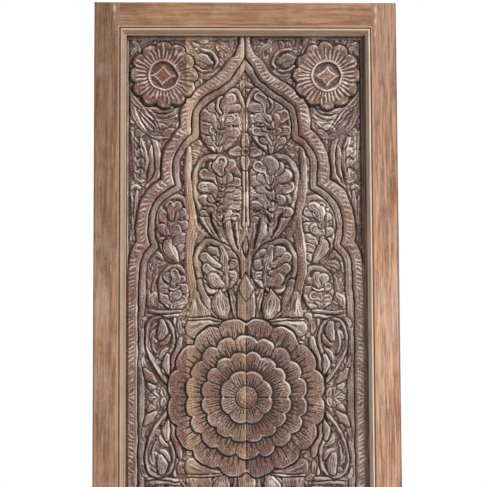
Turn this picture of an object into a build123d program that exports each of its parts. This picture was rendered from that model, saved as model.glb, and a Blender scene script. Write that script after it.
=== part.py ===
from build123d import *
from math import cos, radians, sin
import os

# Carved double door: a rebated, moulded frame with two pivot-hung leaves of carved planks.
# X runs across the door, Y from the carved front to the back, Z up.
# The origin is the middle of the underside of the sill.

# Frame
FRAME_WIDTH = 806.0
FRAME_HEIGHT = 2100.0
FRAME_DEPTH = 80.0
FACE_WIDTH = 85.0
LIP_THICKNESS = 27.5
JAMB_REBATE = 34.5
RAIL_REBATE = 22.0
TENON_THICKNESS = 24.0
TENON_SETBACK = 12.5
TENON_SHOULDER = 8.0
TENON_HORN = 10.0

# Moulding worked on the inner edge of every frame member
QUIRK_WIDTH = 2.0
QUIRK_DEPTH = 3.0
BEAD_WIDTH = 8.0
FILLET_DEPTH = 2.5
COVE_RADIUS = 8.0

# Square pegs through the frame's tenons
PEG_SIDE = 9.0
PEG_SPACING = 23.0
PEG_LENGTH = 46.0

# Leaves
PLANK_THICKNESS = 30.0
MEETING_GAP = 1.2
HEEL_GAP = 1.5
FRONT_GAP = 1.0
HEAD_GAP = 2.0
PLANK_SEAM = 156.8
CARVING_MARGIN = 1.0

# Pivot pins at the top and bottom of each leaf's rounded heel
PIN_RADIUS = 8.0
PIN_DEPTH_IN_LEAF = 30.0
SOCKET_DEPTH = 30.0
SOCKET_CLEARANCE = 0.1
PIN_SEAT_CLEARANCE = 0.05
PIN_REST_GAP = 0.3

# Ledges across the back of each leaf
LEDGE_COUNT = 4
LEDGE_HEIGHT = 110.0
LEDGE_THICKNESS = 20.0
LEDGE_BEVEL = 6.0
LEDGE_END_INSET = 7.4
LEDGE_HEEL_INSET = 40.0
LEDGE_MARGIN = 75.0

# Forged nails
NAIL_SHANK = 5.0
NAIL_HOLD = 16.0
NAIL_HEAD = 14.0
NAIL_HEAD_HEIGHT = 3.0
NAIL_HEAD_TOP = 4.2
NAIL_STAGGER = 25.0
NAIL_SIDE_INSET = 32.0

# The carving is cut in flat chips: each arc is this many straight cuts.
CUTS_PER_ARC = 3
CUTS_PER_LOBE = 5
RIM_CUTS = 16

# Heights of the carving above the ground of the planks
ROPE_HEIGHT = 8.0
BEAD_HEIGHT = 5.5
LOOP_HEIGHT = 6.0
LEAF_HEIGHT = 4.0
POD_HEIGHT = 7.5
VINE_HEIGHT = 7.0
ROSETTE_HEIGHT = 6.0
ROSETTE_RIM_HEIGHT = 8.0
ROSETTE_BUTTON_HEIGHT = 10.0
RING_HEIGHTS = (4.0, 6.0, 8.0, 10.0)
RING_SLOPE = 1.5
BUTTON_HEIGHT = 12.0

# The carving is set out on a grid of 120 by 363 squares in each quarter of the field.
GRID_COLUMNS = 119.5
GRID_ROWS = 362.8
BEAD_BAND = 6.5
ROPE_BAND = 11.5
LOOP_BAND = 4.0

# Places that follow from the sizes above
HALF_WIDTH = FRAME_WIDTH / 2
HALF_DEPTH = FRAME_DEPTH / 2
MID_HEIGHT = FRAME_HEIGHT / 2
SIGHT_X = HALF_WIDTH - FACE_WIDTH
SIGHT_Z = MID_HEIGHT - FACE_WIDTH
MOULDING_WIDTH = QUIRK_WIDTH + BEAD_WIDTH + COVE_RADIUS
SHOULDER_X = SIGHT_X + MOULDING_WIDTH
SHOULDER_Z = SIGHT_Z + MOULDING_WIDTH
LIP_BACK = -HALF_DEPTH + LIP_THICKNESS
REBATE_X = SIGHT_X + JAMB_REBATE
REBATE_Z = SIGHT_Z + RAIL_REBATE
GROUND_Y = LIP_BACK + FRONT_GAP
HEEL_RADIUS = PLANK_THICKNESS / 2
PIVOT_X = REBATE_X - HEEL_GAP - HEEL_RADIUS
PIVOT_Y = GROUND_Y + HEEL_RADIUS
LEAF_HALF_HEIGHT = REBATE_Z - HEAD_GAP
MEETING_X = MEETING_GAP / 2
FIELD_X = SIGHT_X - CARVING_MARGIN
FIELD_Z = SIGHT_Z - CARVING_MARGIN
GRID_X = FIELD_X / GRID_COLUMNS
GRID_Z = FIELD_Z / GRID_ROWS
GRID = min(GRID_X, GRID_Z)
TENON_Y0 = LIP_BACK + TENON_SETBACK
TENON_Y1 = TENON_Y0 + TENON_THICKNESS
TENON_Z0 = REBATE_Z + TENON_SHOULDER
TENON_Z1 = MID_HEIGHT - TENON_HORN
PEG_X = (REBATE_X + HALF_WIDTH) / 2
PEG_Z = (TENON_Z0 + TENON_Z1) / 2


def block(x0, x1, y0, y1, z0, z1):
    """A square-edged block between two corners."""
    size = Box(x1 - x0, y1 - y0, z1 - z0)
    return Pos((x0 + x1) / 2, (y0 + y1) / 2, (z0 + z1) / 2) * size


def lip_outline(inner, outer):
    """Edges of the moulded lip from its inner corner at the rebate out to the outer front corner.

    The first number of each point is the distance along the face, the second is Y.
    """
    front = -HALF_DEPTH
    quirk = inner + MOULDING_WIDTH
    bead = quirk - QUIRK_WIDTH
    fillet = bead - BEAD_WIDTH
    low = front + QUIRK_DEPTH
    cove = low + FILLET_DEPTH
    foot = cove + COVE_RADIUS
    turn = COVE_RADIUS * sin(radians(45))
    return [
        Line((inner, LIP_BACK), (inner, foot)),
        ThreePointArc((inner, foot), (inner + COVE_RADIUS - turn, cove + COVE_RADIUS - turn), (fillet, cove)),
        Line((fillet, cove), (fillet, low)),
        ThreePointArc((fillet, low), ((fillet + bead) / 2, front), (bead, low)),
        Line((bead, low), (quirk, low)),
        Line((quirk, low), (quirk, front)),
        Line((quirk, front), (outer, front)),
    ]


def jamb_profile():
    """Section of the right jamb in plan."""
    edges = lip_outline(SIGHT_X, HALF_WIDTH)
    edges.append(Line((HALF_WIDTH, -HALF_DEPTH), (HALF_WIDTH, HALF_DEPTH)))
    edges.append(Line((HALF_WIDTH, HALF_DEPTH), (REBATE_X, HALF_DEPTH)))
    edges.append(Line((REBATE_X, HALF_DEPTH), (REBATE_X, LIP_BACK)))
    edges.append(Line((REBATE_X, LIP_BACK), (SIGHT_X, LIP_BACK)))
    return make_face(edges)


def mitre_waste(sign):
    """What the moulding of a jamb loses at one end, where the rail's moulding meets it."""
    outline = Polyline(
        (SHOULDER_X, sign * SHOULDER_Z),
        (SIGHT_X, sign * SIGHT_Z),
        (SIGHT_X, sign * MID_HEIGHT),
        (SHOULDER_X, sign * MID_HEIGHT),
        close=True,
    )
    waste = extrude(Plane.XZ * make_face(outline), amount=LIP_THICKNESS, both=True)
    return Pos(0, -HALF_DEPTH, MID_HEIGHT) * waste


def rail_rear(x_end):
    """Block of the head behind the leaves' top edges, out to the jambs' rebates."""
    return block(-x_end, x_end, LIP_BACK, HALF_DEPTH, MID_HEIGHT + REBATE_Z, FRAME_HEIGHT)


def tenon(side):
    """Through tenon at one end of the head."""
    x0, x1 = sorted((side * REBATE_X, side * HALF_WIDTH))
    return block(x0, x1, TENON_Y0, TENON_Y1, MID_HEIGHT + TENON_Z0, MID_HEIGHT + TENON_Z1)


def pegs_at(side):
    """The two pegs at one end of the head, which also shape their holes."""
    half = PEG_SIDE / 2
    pegs = []
    for dz in (-PEG_SPACING / 2, PEG_SPACING / 2):
        x, z = side * PEG_X, MID_HEIGHT + PEG_Z + dz
        pegs.append(block(x - half, x + half, HALF_DEPTH - PEG_LENGTH, HALF_DEPTH, z - half, z + half))
    return pegs


def socket(side):
    """Round socket in the head that a leaf's upper pin turns in."""
    z0 = MID_HEIGHT + REBATE_Z
    rod = Cylinder(PIN_RADIUS + SOCKET_CLEARANCE, SOCKET_DEPTH)
    return Pos(side * PIVOT_X, PIVOT_Y, z0 + SOCKET_DEPTH / 2) * rod


def make_head():
    """Head rail with its moulding mitred at both ends, tenons, sockets and peg holes."""
    edges = lip_outline(SIGHT_Z, MID_HEIGHT)
    edges.append(Line((MID_HEIGHT, -HALF_DEPTH), (MID_HEIGHT, LIP_BACK)))
    edges.append(Line((MID_HEIGHT, LIP_BACK), (SIGHT_Z, LIP_BACK)))
    section_plane = Plane(origin=(0, 0, MID_HEIGHT), x_dir=(0, 0, 1), z_dir=(-1, 0, 0))
    lip = extrude(section_plane * make_face(edges), amount=SHOULDER_X, both=True)
    for side in (-1, 1):
        corner = Polyline(
            (side * SHOULDER_X, SHOULDER_Z),
            (side * SIGHT_X, SIGHT_Z),
            (side * SHOULDER_X, SIGHT_Z),
            close=True,
        )
        waste = extrude(Plane.XZ * make_face(corner), amount=LIP_THICKNESS, both=True)
        lip -= Pos(0, -HALF_DEPTH, MID_HEIGHT) * waste
    head = lip + rail_rear(REBATE_X) + tenon(-1) + tenon(1)
    for side in (-1, 1):
        head -= [socket(side)] + pegs_at(side)
    return head


def flip(shape):
    """The same shape mirrored top to bottom about the door's middle height."""
    return mirror(shape, about=Plane(origin=(0, 0, MID_HEIGHT), z_dir=(0, 0, 1)))


def swap(shape):
    """The same shape mirrored left to right."""
    return mirror(shape, about=Plane.YZ)


def make_jamb():
    """Right jamb: full height, rebated, moulded, mortised for both rails and bored for the pegs."""
    jamb = extrude(jamb_profile(), amount=FRAME_HEIGHT)
    jamb = jamb - mitre_waste(1) - mitre_waste(-1)
    mortise = tenon(1)
    jamb = jamb - mortise - flip(mortise)
    for peg in pegs_at(1):
        jamb = jamb - peg - flip(peg)
    return jamb


def make_pegs():
    """Eight pegs that lock the four tenons."""
    upper = pegs_at(-1) + pegs_at(1)
    return Compound(children=upper + [flip(peg) for peg in upper])


# The carving is drawn in panel coordinates: x across, y up from the door's middle, z out of the wood.
PANEL = Plane(origin=(0, GROUND_Y, MID_HEIGHT), x_dir=(1, 0, 0), z_dir=(0, -1, 0))


def at(u, v):
    """Grid square to millimetres."""
    return (u * GRID_X, v * GRID_Z)


def chips(edge, count):
    """Evenly spaced points along an edge, without its end."""
    return [edge @ (i / count) for i in range(count)]


def arc_ring(*points):
    """Corners of a closed outline of arcs cut in chips: every second point is the middle of an arc."""
    spots = [at(u, v) for u, v in points]
    spots.append(spots[0])
    ring = []
    for i in range(0, len(spots) - 2, 2):
        ring += chips(ThreePointArc(*spots[i:i + 3]), CUTS_PER_ARC)
    return ring


def grown(ring, width):
    """A closed outline moved outward by a width, or inward by a negative one, corner by corner."""
    turning = sum(ring[i - 1].X * p.Y - p.X * ring[i - 1].Y for i, p in enumerate(ring))
    side = 1 if turning < 0 else -1
    moved = []
    for i, point in enumerate(ring):
        before = (point - ring[i - 1]).normalized()
        after = (ring[(i + 1) % len(ring)] - point).normalized()
        normal = Vector(-before.Y - after.Y, before.X + after.X).normalized()
        stretch = min(1 / max(normal.dot(Vector(-before.Y, before.X)), 0.1), 1.5)
        moved.append(point + normal * (side * width * stretch))
    return moved


def face_of(ring):
    """Face inside a closed outline."""
    return make_face(Polyline(*ring, close=True))


def arc_loop(*points):
    """Closed face from arcs cut in chips."""
    return face_of(arc_ring(*points))


def loop_band(*points):
    """Band of even width along the inside of a closed outline of arcs."""
    ring = arc_ring(*points)
    return face_of(ring) - face_of(grown(ring, -LOOP_BAND * GRID))


def pointed_leaf(tip, base, left, right):
    """Leaf with two curved sides that meet in points at its tip and base."""
    x0, y0 = base
    x1, y1 = tip
    length = ((x1 - x0) ** 2 + (y1 - y0) ** 2) ** 0.5
    nx, ny = (y0 - y1) / length, (x1 - x0) / length
    mx, my = (x0 + x1) / 2, (y0 + y1) / 2
    return arc_loop(base, (mx + nx * left, my + ny * left), tip, (mx - nx * right, my - ny * right))


def teardrop(tip, heart, radius):
    """Round drop with a straight-sided point."""
    tx, ty = tip
    hx, hy = heart
    reach = ((tx - hx) ** 2 + (ty - hy) ** 2) ** 0.5
    dx, dy = (tx - hx) / reach, (ty - hy) / reach
    along = radius * radius / reach
    out = (radius * radius - along * along) ** 0.5
    a = (hx + dx * along - dy * out, hy + dy * along + dx * out)
    b = (hx + dx * along + dy * out, hy + dy * along - dx * out)
    back = (hx - dx * radius, hy - dy * radius)
    bowl = ThreePointArc(at(*a), at(*back), at(*b))
    return make_face(Polyline(at(*tip), *chips(bowl, 2 * CUTS_PER_ARC), at(*b), close=True))


def scalloped(count, radius, notch, turn=0.0):
    """Corners of a round outline whose edge is a ring of petal tips."""
    step = 360 / count
    outline = []
    for i in range(count):
        a0 = radians(turn + i * step)
        a1 = radians(turn + (i + 1) * step)
        mid = (a0 + a1) / 2
        tip = ThreePointArc(
            (notch * cos(a0), notch * sin(a0)),
            (radius * cos(mid), radius * sin(mid)),
            (notch * cos(a1), notch * sin(a1)),
        )
        outline += chips(tip, CUTS_PER_ARC)
    return outline


def rim_ring(radius):
    """Corners of a round rim cut in chips."""
    return chips(Edge.make_circle(radius), RIM_CUTS)


def crown(ring, low, high, inner_share):
    """Solid from an outline up to a smaller copy of it, with one flat chip to each side."""
    lower = [Vector(p.X, p.Y, low) for p in ring]
    upper = [Vector(p.X * inner_share, p.Y * inner_share, high) for p in ring]
    corners = range(len(ring))
    sides = [Face(Wire.make_polygon([lower[i - 1], lower[i], upper[i], upper[i - 1]])) for i in corners]
    caps = [Face(Wire.make_polygon(lower)), Face(Wire.make_polygon(upper))]
    return Solid(Shell(sides + caps))


def raised(ring, edge_height, height, inner_share):
    """An outline carried up to its edge height, then sloping up to a smaller copy of itself."""
    return extrude(face_of(ring), amount=edge_height) + crown(ring, edge_height, height, inner_share)


def petal_ring(count, radius, inner, height, turn=0.0):
    """One tier of petals, a little lower at its tips than at its heart."""
    ring = scalloped(count, radius * GRID, (radius - 5) * GRID, turn)
    return raised(ring, height - RING_SLOPE, height, inner / radius)


def button(radius, base, height):
    """Low round button cut in chips, with a small flat top."""
    return raised(rim_ring(radius * GRID), base, height, 0.45)


def medallion():
    """Four tiers of petals round a button, at the middle of the door."""
    tiers = [
        petal_ring(16, 79, 58, RING_HEIGHTS[0]),
        petal_ring(18, 61, 43, RING_HEIGHTS[1]),
        petal_ring(16, 45, 25, RING_HEIGHTS[2]),
        petal_ring(8, 26.5, 11, RING_HEIGHTS[3]),
        button(11, RING_HEIGHTS[3], BUTTON_HEIGHT),
    ]
    return tiers


def rosette():
    """Corner flower of twelve petals with a rimmed button."""
    x, y = at(83.3, 322.5)
    petals = extrude(face_of(scalloped(12, 34.5 * GRID, 30.5 * GRID, 15)), amount=ROSETTE_HEIGHT)
    well = face_of(rim_ring(14.2 * GRID))
    rim = extrude(face_of(rim_ring(17.5 * GRID)) - well, amount=ROSETTE_RIM_HEIGHT)
    flower = petals - extrude(well, amount=ROSETTE_HEIGHT)
    heart = button(12.6, ROSETTE_HEIGHT - RING_SLOPE, ROSETTE_BUTTON_HEIGHT)
    return [Pos(x, y, 0) * piece for piece in (flower, rim, heart)]


ARCH_LOBES = (
    ((0, 343), (13, 321), (35, 304)),
    ((35, 304), (50, 291.5), (54, 262)),
    ((54, 262), (69, 246), (72.5, 211)),
    ((72.5, 211), (92.5, 193.5), (96, 152)),
    ((96, 152), (104, 140), (108, 122)),
)


def arch_quarter():
    """Points of the arch's line from its upper point down to the door's middle."""
    points = []
    for lobe in ARCH_LOBES:
        points += chips(ThreePointArc(*[at(u, v) for u, v in lobe]), CUTS_PER_LOBE)
    points.append(Vector(*at(*ARCH_LOBES[-1][-1])))
    return points


def arch_outline(width):
    """Face of the whole many-lobed opening, grown by a width, or shrunk by a negative one."""
    right_top = arch_quarter()
    right_foot = [Vector(p.X, -p.Y) for p in reversed(right_top)]
    right = right_top + right_foot
    left = [Vector(-p.X, p.Y) for p in reversed(right[1:-1])]
    return face_of(grown(right + left, width))


def arch_bands():
    """Rope moulding round the arch and the plain bead inside it."""
    opening = arch_outline(0)
    rope = extrude(arch_outline(ROPE_BAND * GRID) - opening, amount=ROPE_HEIGHT)
    bead = extrude(opening - arch_outline(-BEAD_BAND * GRID), amount=BEAD_HEIGHT)
    return [rope, bead]


def quarter_loops():
    """Framed loops of the upper right quarter."""
    upper_loop = loop_band((3, 300), (20, 306), (40, 291), (47, 268), (19, 249), (5, 265))
    middle_drop = loop_band((24, 244), (6, 230), (2, 200), (6, 172), (19, 152), (42, 172), (54, 210), (48, 240))
    side_oval = loop_band((64, 206), (84, 193), (91, 170), (87, 150), (72, 134), (54, 146), (47, 172), (52, 196))
    lower_pear = loop_band((28, 156), (44, 146), (44, 120), (38, 112), (28, 104), (20, 116), (18, 136), (21, 150))
    side_panel = loop_band((52, 98), (54, 118), (68, 129), (84, 121), (88, 98), (70, 92))
    return [upper_loop, middle_drop, side_oval, lower_pear, side_panel]


def quarter_leaves():
    """Low leaves of the upper right quarter, inside the loops and in the spandrel."""
    return [
        pointed_leaf((30, 293), (22, 262), 7, 7),
        pointed_leaf((28, 232), (22, 165), 10, 10),
        pointed_leaf((72, 158), (73, 138), 8, 8),
        pointed_leaf((70, 120), (70, 97), 8, 8),
        pointed_leaf((32, 147), (30, 112), 7, 6),
        pointed_leaf((104, 298), (106, 248), 7, 5),
        pointed_leaf((96, 286), (72, 286), 5, -1),
        pointed_leaf((81, 276), (81, 259), 7, 7),
        pointed_leaf((108, 210), (106, 162), 6, 6),
        pointed_leaf((93, 252), (100, 222), 6, 5),
        pointed_leaf((30, 337), (50, 350), 9, 5),
        pointed_leaf((78, 52), (78, 20), 7, 7),
        pointed_leaf((100, 30), (90, 12), 5, 4),
    ]


def quarter_pods():
    """High round forms of the upper right quarter: pods, buds and small flowers."""
    pods = [
        pointed_leaf((24, 108), (9, 82), 8, 6),
        teardrop((80, 12), (85.5, 60), 15),
        pointed_leaf((62, 77), (48, 60), 7, 7),
    ]
    x, y = at(73, 172)
    pods.append(Pos(x, y) * Circle(6.5 * GRID))
    return pods


def quarter_vine():
    """Stem that climbs between the inner and the side loops, with its collar."""
    stem = arc_loop((46, 238), (50, 170), (49, 100), (52, 98), (55, 100), (56, 170), (50, 238), (48, 240))
    collar = arc_loop((36, 93), (46, 97), (58, 93), (59, 86), (56, 80), (46, 83), (36, 80), (35, 86))
    moulding = arc_loop((61, 85), (78, 88), (96, 85), (97, 82.5), (96, 80), (78, 83), (61, 80), (60, 82.5))
    return [stem, collar, moulding]


def axis_forms():
    """Forms that stand on the door's centre line, above its middle."""
    lotus = arc_loop((0, 119), (8, 112), (10, 98), (8, 86), (0, 80), (-8, 86), (-10, 98), (-8, 112))
    apex_leaf = pointed_leaf((0, 328), (0, 293), 6, 6)
    lower_leaf = pointed_leaf((0, 173), (0, 141), 8, 8)
    x, y = at(0, 245)
    flower = Pos(x, y) * face_of(scalloped(4, 9.5 * GRID, 4 * GRID, 0))
    return [lotus, apex_leaf, lower_leaf, flower]


def fan():
    """Three-lobed fan beside the medallion."""
    x, y = at(91, 0)
    return Pos(x, y) * face_of(scalloped(5, 11 * GRID, 8 * GRID, -36))


def carving():
    """All carved solids of the right half of the door, in panel coordinates."""
    upper = []
    upper += [extrude(face, amount=LOOP_HEIGHT) for face in quarter_loops()]
    upper += [extrude(face, amount=LEAF_HEIGHT) for face in quarter_leaves()]
    upper += [extrude(face, amount=POD_HEIGHT) for face in quarter_pods()]
    upper += [extrude(face, amount=VINE_HEIGHT) for face in quarter_vine()]
    upper += [extrude(face, amount=POD_HEIGHT) for face in axis_forms()]
    upper += rosette()
    solids = upper + [mirror(piece, about=Plane.XZ) for piece in upper]
    solids += arch_bands()
    solids += medallion()
    solids.append(extrude(fan(), amount=LEAF_HEIGHT))
    return solids


def clip_carving(solids, x0, x1):
    """The part of the carving that lies on one plank, as a list of solids."""
    window = block(x0, x1, -FIELD_Z, FIELD_Z, -1, BUTTON_HEIGHT + 1)
    kept = []
    for solid in solids:
        box = solid.bounding_box()
        if box.max.X > x0 and box.min.X < x1:
            kept.append(solid & window)
    return kept


def nail_places():
    """Nail positions on the right leaf, from the hanging side to the meeting edge."""
    outer = (SIGHT_X - LEDGE_HEEL_INSET + HEEL_RADIUS - NAIL_SIDE_INSET / 2, PLANK_SEAM + NAIL_SIDE_INSET)
    inner = (PLANK_SEAM - NAIL_SIDE_INSET, MEETING_X + LEDGE_END_INSET + NAIL_SIDE_INSET)
    places = []
    for z in ledge_heights():
        for i, x in enumerate(outer + inner):
            places.append((x, z + (NAIL_STAGGER if i % 2 else -NAIL_STAGGER)))
    return places


def nail_shank(x, z):
    """Square shank of one nail, from under its head into the plank."""
    half = NAIL_SHANK / 2
    back = GROUND_Y + PLANK_THICKNESS
    return block(x - half, x + half, back - NAIL_HOLD, back + LEDGE_THICKNESS, z - half, z + half)


def nail_head(x, z):
    """Four-sided rose head of one nail."""
    back = GROUND_Y + PLANK_THICKNESS + LEDGE_THICKNESS
    low = (NAIL_HEAD - NAIL_HEAD_TOP) / 2
    high = (NAIL_HEAD + NAIL_HEAD_TOP) / 2
    head = Wedge(NAIL_HEAD, NAIL_HEAD_HEIGHT, NAIL_HEAD, low, low, high, high)
    return Pos(x, back + NAIL_HEAD_HEIGHT / 2, z) * head


def make_nails():
    """All the nails of the right leaf."""
    return Compound(children=[nail_shank(x, z) + nail_head(x, z) for x, z in nail_places()])


def pin_hole():
    """Hole for the upper pin in the heel."""
    rod = Cylinder(PIN_RADIUS + PIN_SEAT_CLEARANCE, PIN_DEPTH_IN_LEAF)
    top = MID_HEIGHT + LEAF_HALF_HEIGHT
    return Pos(PIVOT_X, PIVOT_Y, top - PIN_DEPTH_IN_LEAF / 2) * rod


def plank_slab(x0, x1, heel):
    """Plain plank between two edges, with its outer edge rounded about the pivot if it is the heel."""
    edges = [
        Line((x1, 0), (x0, 0)),
        Line((x0, 0), (x0, -PLANK_THICKNESS)),
        Line((x0, -PLANK_THICKNESS), (x1, -PLANK_THICKNESS)),
    ]
    if heel:
        round_edge = ThreePointArc((x1, -PLANK_THICKNESS), (x1 + HEEL_RADIUS, -HEEL_RADIUS), (x1, 0))
        edges.append(round_edge)
    else:
        edges.append(Line((x1, -PLANK_THICKNESS), (x1, 0)))
    return extrude(Plane.XZ * make_face(edges), amount=LEAF_HALF_HEIGHT, both=True)


def carved_plank(x0, x1, heel=False):
    """One plank of the right leaf with its share of the carving."""
    reach = min(x1, FIELD_X)
    plank = plank_slab(x0, x1, heel) + clip_carving(carving(), x0, reach)
    plank = PANEL * plank
    if heel:
        plank = plank - pin_hole() - flip(pin_hole())
    return plank


def make_pins():
    """Pivot pins of the right leaf, from its heel up into the head and down into the sill."""
    bottom = MID_HEIGHT + LEAF_HALF_HEIGHT - PIN_DEPTH_IN_LEAF
    top = MID_HEIGHT + REBATE_Z + SOCKET_DEPTH - PIN_REST_GAP
    pin = Pos(PIVOT_X, PIVOT_Y, (top + bottom) / 2) * Cylinder(PIN_RADIUS, top - bottom)
    return Compound(children=[pin, flip(pin)])


def ledge_heights():
    """Middle heights of the ledges, evenly spaced from bottom to top."""
    low = MID_HEIGHT - LEAF_HALF_HEIGHT + LEDGE_MARGIN + LEDGE_HEIGHT / 2
    high = MID_HEIGHT + LEAF_HALF_HEIGHT - LEDGE_MARGIN - LEDGE_HEIGHT / 2
    return [low + (high - low) * i / (LEDGE_COUNT - 1) for i in range(LEDGE_COUNT)]


def make_ledge(z):
    """Bevelled ledge across both planks of the right leaf."""
    x0 = MEETING_X + LEDGE_END_INSET
    x1 = PIVOT_X - LEDGE_HEEL_INSET
    y0 = GROUND_Y + PLANK_THICKNESS
    y1 = y0 + LEDGE_THICKNESS
    ledge = block(x0, x1, y0, y1, z - LEDGE_HEIGHT / 2, z + LEDGE_HEIGHT / 2)
    return chamfer(ledge.faces().sort_by(Axis.Y)[-1].edges(), LEDGE_BEVEL)


def all_parts():
    """Every piece of the door by its name."""
    parts = {}
    head = make_head()
    jamb = make_jamb()
    parts["head_rail"] = head
    parts["sill_rail"] = flip(head)
    parts["jamb_right"] = jamb
    parts["jamb_left"] = swap(jamb)
    parts["frame_pegs"] = make_pegs()
    outer = carved_plank(PLANK_SEAM, PIVOT_X, heel=True)
    inner = carved_plank(MEETING_X, PLANK_SEAM)
    right = {
        "plank_outer": outer,
        "plank_inner": inner,
        "nails": make_nails(),
        "pivot_pins": make_pins(),
    }
    for i, z in enumerate(ledge_heights()):
        right["ledge_%d" % (i + 1)] = make_ledge(z)
    for name, shape in right.items():
        parts[name + "_right"] = shape
        parts[name + "_left"] = swap(shape)
    return parts


os.makedirs("parts", exist_ok=True)
for name, shape in all_parts().items():
    export_step(shape, "parts/%s.step" % name)
    print(name, round(shape.volume))
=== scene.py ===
"""Looks of the carved double door: carved planks, moulded frame, ledges, ironwork and studio."""

import logging
import math
from dataclasses import dataclass, field
from enum import Enum
from typing import Callable, Sequence

import bmesh
import bpy
import numpy as np
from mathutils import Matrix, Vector


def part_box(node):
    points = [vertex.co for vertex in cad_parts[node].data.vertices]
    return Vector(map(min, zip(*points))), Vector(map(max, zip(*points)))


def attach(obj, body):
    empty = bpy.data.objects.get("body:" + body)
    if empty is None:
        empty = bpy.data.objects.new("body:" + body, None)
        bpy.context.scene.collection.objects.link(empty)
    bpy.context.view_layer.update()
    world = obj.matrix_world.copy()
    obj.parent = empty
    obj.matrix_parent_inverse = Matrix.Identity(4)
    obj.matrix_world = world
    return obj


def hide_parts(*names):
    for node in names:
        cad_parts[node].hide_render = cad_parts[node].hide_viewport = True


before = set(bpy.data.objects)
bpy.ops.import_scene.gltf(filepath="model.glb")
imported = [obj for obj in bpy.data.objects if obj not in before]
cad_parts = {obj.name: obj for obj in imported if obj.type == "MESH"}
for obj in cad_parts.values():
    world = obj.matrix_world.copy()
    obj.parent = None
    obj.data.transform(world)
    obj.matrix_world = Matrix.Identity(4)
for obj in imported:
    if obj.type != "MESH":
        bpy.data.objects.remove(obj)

log = logging.getLogger("door")

Point = tuple[float, float]
Place = tuple[float, float, float]
Tone = tuple[float, float, float]
Colour = tuple[float, float, float, float]
Window = tuple[slice, slice]

# The carver's setting-out grid: columns run to the right, rows run down from the head of the frame.
SQUARE = 0.002658
MID_COLUMN = 246.5
MID_ROW = 398.3
MILLIMETRE = 0.001
# Places on the door in metres.
GROUND_Y = -0.0115
PLANK_BACK = 0.0185
DOOR_MIDDLE_Z = 1.05
PIVOT_X = 0.336
HEEL_RADIUS = 0.015
FIELD_HALF_WIDTH = 0.3168
FIELD_HALF_HEIGHT = 0.9638
SIGHT_X = 0.318
SIGHT_Z = 0.965
MOULDING_WIDTH = 0.018
# Highest and deepest relief in millimetres.
TOP_RELIEF = 11.9
DEEPEST_RELIEF = -1.5
FAR_AWAY = 1e9
ATTRIBUTES = ("cavity", "wash", "flow", "lines", "tint")
WHOLE: Window = (slice(None), slice(None))


class Section(Enum):
    """Cross-section of a carved stroke."""

    ROUND = "round"
    SCOOP = "scoop"
    FLAT = "flat"
    VEINED = "veined"


ROUND, SCOOP, FLAT, VEINED = Section


def unit(values: np.ndarray) -> np.ndarray:
    """Values held between 0 and 1."""
    return np.clip(values, 0, 1)


def bell(distance: np.ndarray, reach: float) -> np.ndarray:
    """Soft line: 1 where the distance is nothing, nearly gone at twice its reach."""
    return np.exp(-(distance / reach) ** 2)


def cut_round(beyond: np.ndarray, reach: float, slope: float) -> np.ndarray:
    """Share by which the wood just outside a form is cut away.

    Args:
        beyond: Distance outside the form's edge, negative inside it.
        reach: How far the cut goes.
        slope: Width of its soft end.

    Returns:
        The share, from 0 to 1 and nothing inside the form.
    """
    return np.clip(reach - beyond, 0, slope) / slope * (beyond > 0)


def profile(section: Section, high: float, gap: np.ndarray, width: np.ndarray) -> np.ndarray:
    """Heights across a carved stroke.

    Args:
        section: Its cross-section.
        high: Its height in millimetres.
        gap: Distances from its middle line.
        width: Half widths there.

    Returns:
        Height at each place.
    """
    t = unit(gap / width)
    dome = np.sqrt(unit(1 - t * t))
    if section is ROUND:
        return high * (0.35 + 0.65 * dome)
    if section is SCOOP:
        return high * (0.42 + 0.58 * t ** 1.6) * unit((1.0 - t) * 5 + 0.5)
    if section is VEINED:
        return high * (0.45 + 0.55 * dome) - 1.8 * bell(gap, 0.6)
    return high * unit((1 - t) * 6 + 0.55)


def curve_length(curve: np.ndarray) -> float:
    """Length run along a curve's samples."""
    return float(np.hypot(*np.diff(curve, axis=0).T).sum())


def smooth_curve(points: Sequence[Point], closed: bool = False, steps: int = 6) -> np.ndarray:
    """Catmull-Rom curve through a few set-out points.

    Args:
        points: Points on the setting-out grid.
        closed: Whether the curve returns to its first point.
        steps: Samples between two points.

    Returns:
        Array of curve samples, one row each.
    """
    knots = np.asarray(points, dtype=float)
    if closed:
        knots = np.vstack([knots[-1], knots, knots[0], knots[1]])
    else:
        knots = np.vstack([2 * knots[0] - knots[1], knots, 2 * knots[-1] - knots[-2]])
    out = []
    for i in range(1, len(knots) - 2):
        a, b, c, d = knots[i - 1:i + 3]
        t = np.linspace(0, 1, steps, endpoint=False)[:, None]
        out.append(0.5 * (2 * b + (c - a) * t + (2 * a - 5 * b + 4 * c - d) * t ** 2
                          + (3 * b - a - 3 * c + d) * t ** 3))
    out.append(knots[-2][None, :])
    return np.vstack(out)


def value_noise(x: np.ndarray, y: np.ndarray, seed: int) -> np.ndarray:
    """Smooth noise with a cell of one unit, from a seeded lattice.

    Args:
        x: Places one way.
        y: Places the other way.
        seed: Seed of the lattice.

    Returns:
        Values between -1 and 1.
    """
    size = 256
    lattice = np.random.default_rng(seed).uniform(-1, 1, (size, size))
    xi, yi = np.floor(x).astype(int), np.floor(y).astype(int)
    xf, yf = x - xi, y - yi
    xf, yf = xf * xf * (3 - 2 * xf), yf * yf * (3 - 2 * yf)
    a = lattice[yi % size, xi % size]
    b = lattice[yi % size, (xi + 1) % size]
    c = lattice[(yi + 1) % size, xi % size]
    d = lattice[(yi + 1) % size, (xi + 1) % size]
    return (a * (1 - xf) + b * xf) * (1 - yf) + (c * (1 - xf) + d * xf) * yf


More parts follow.
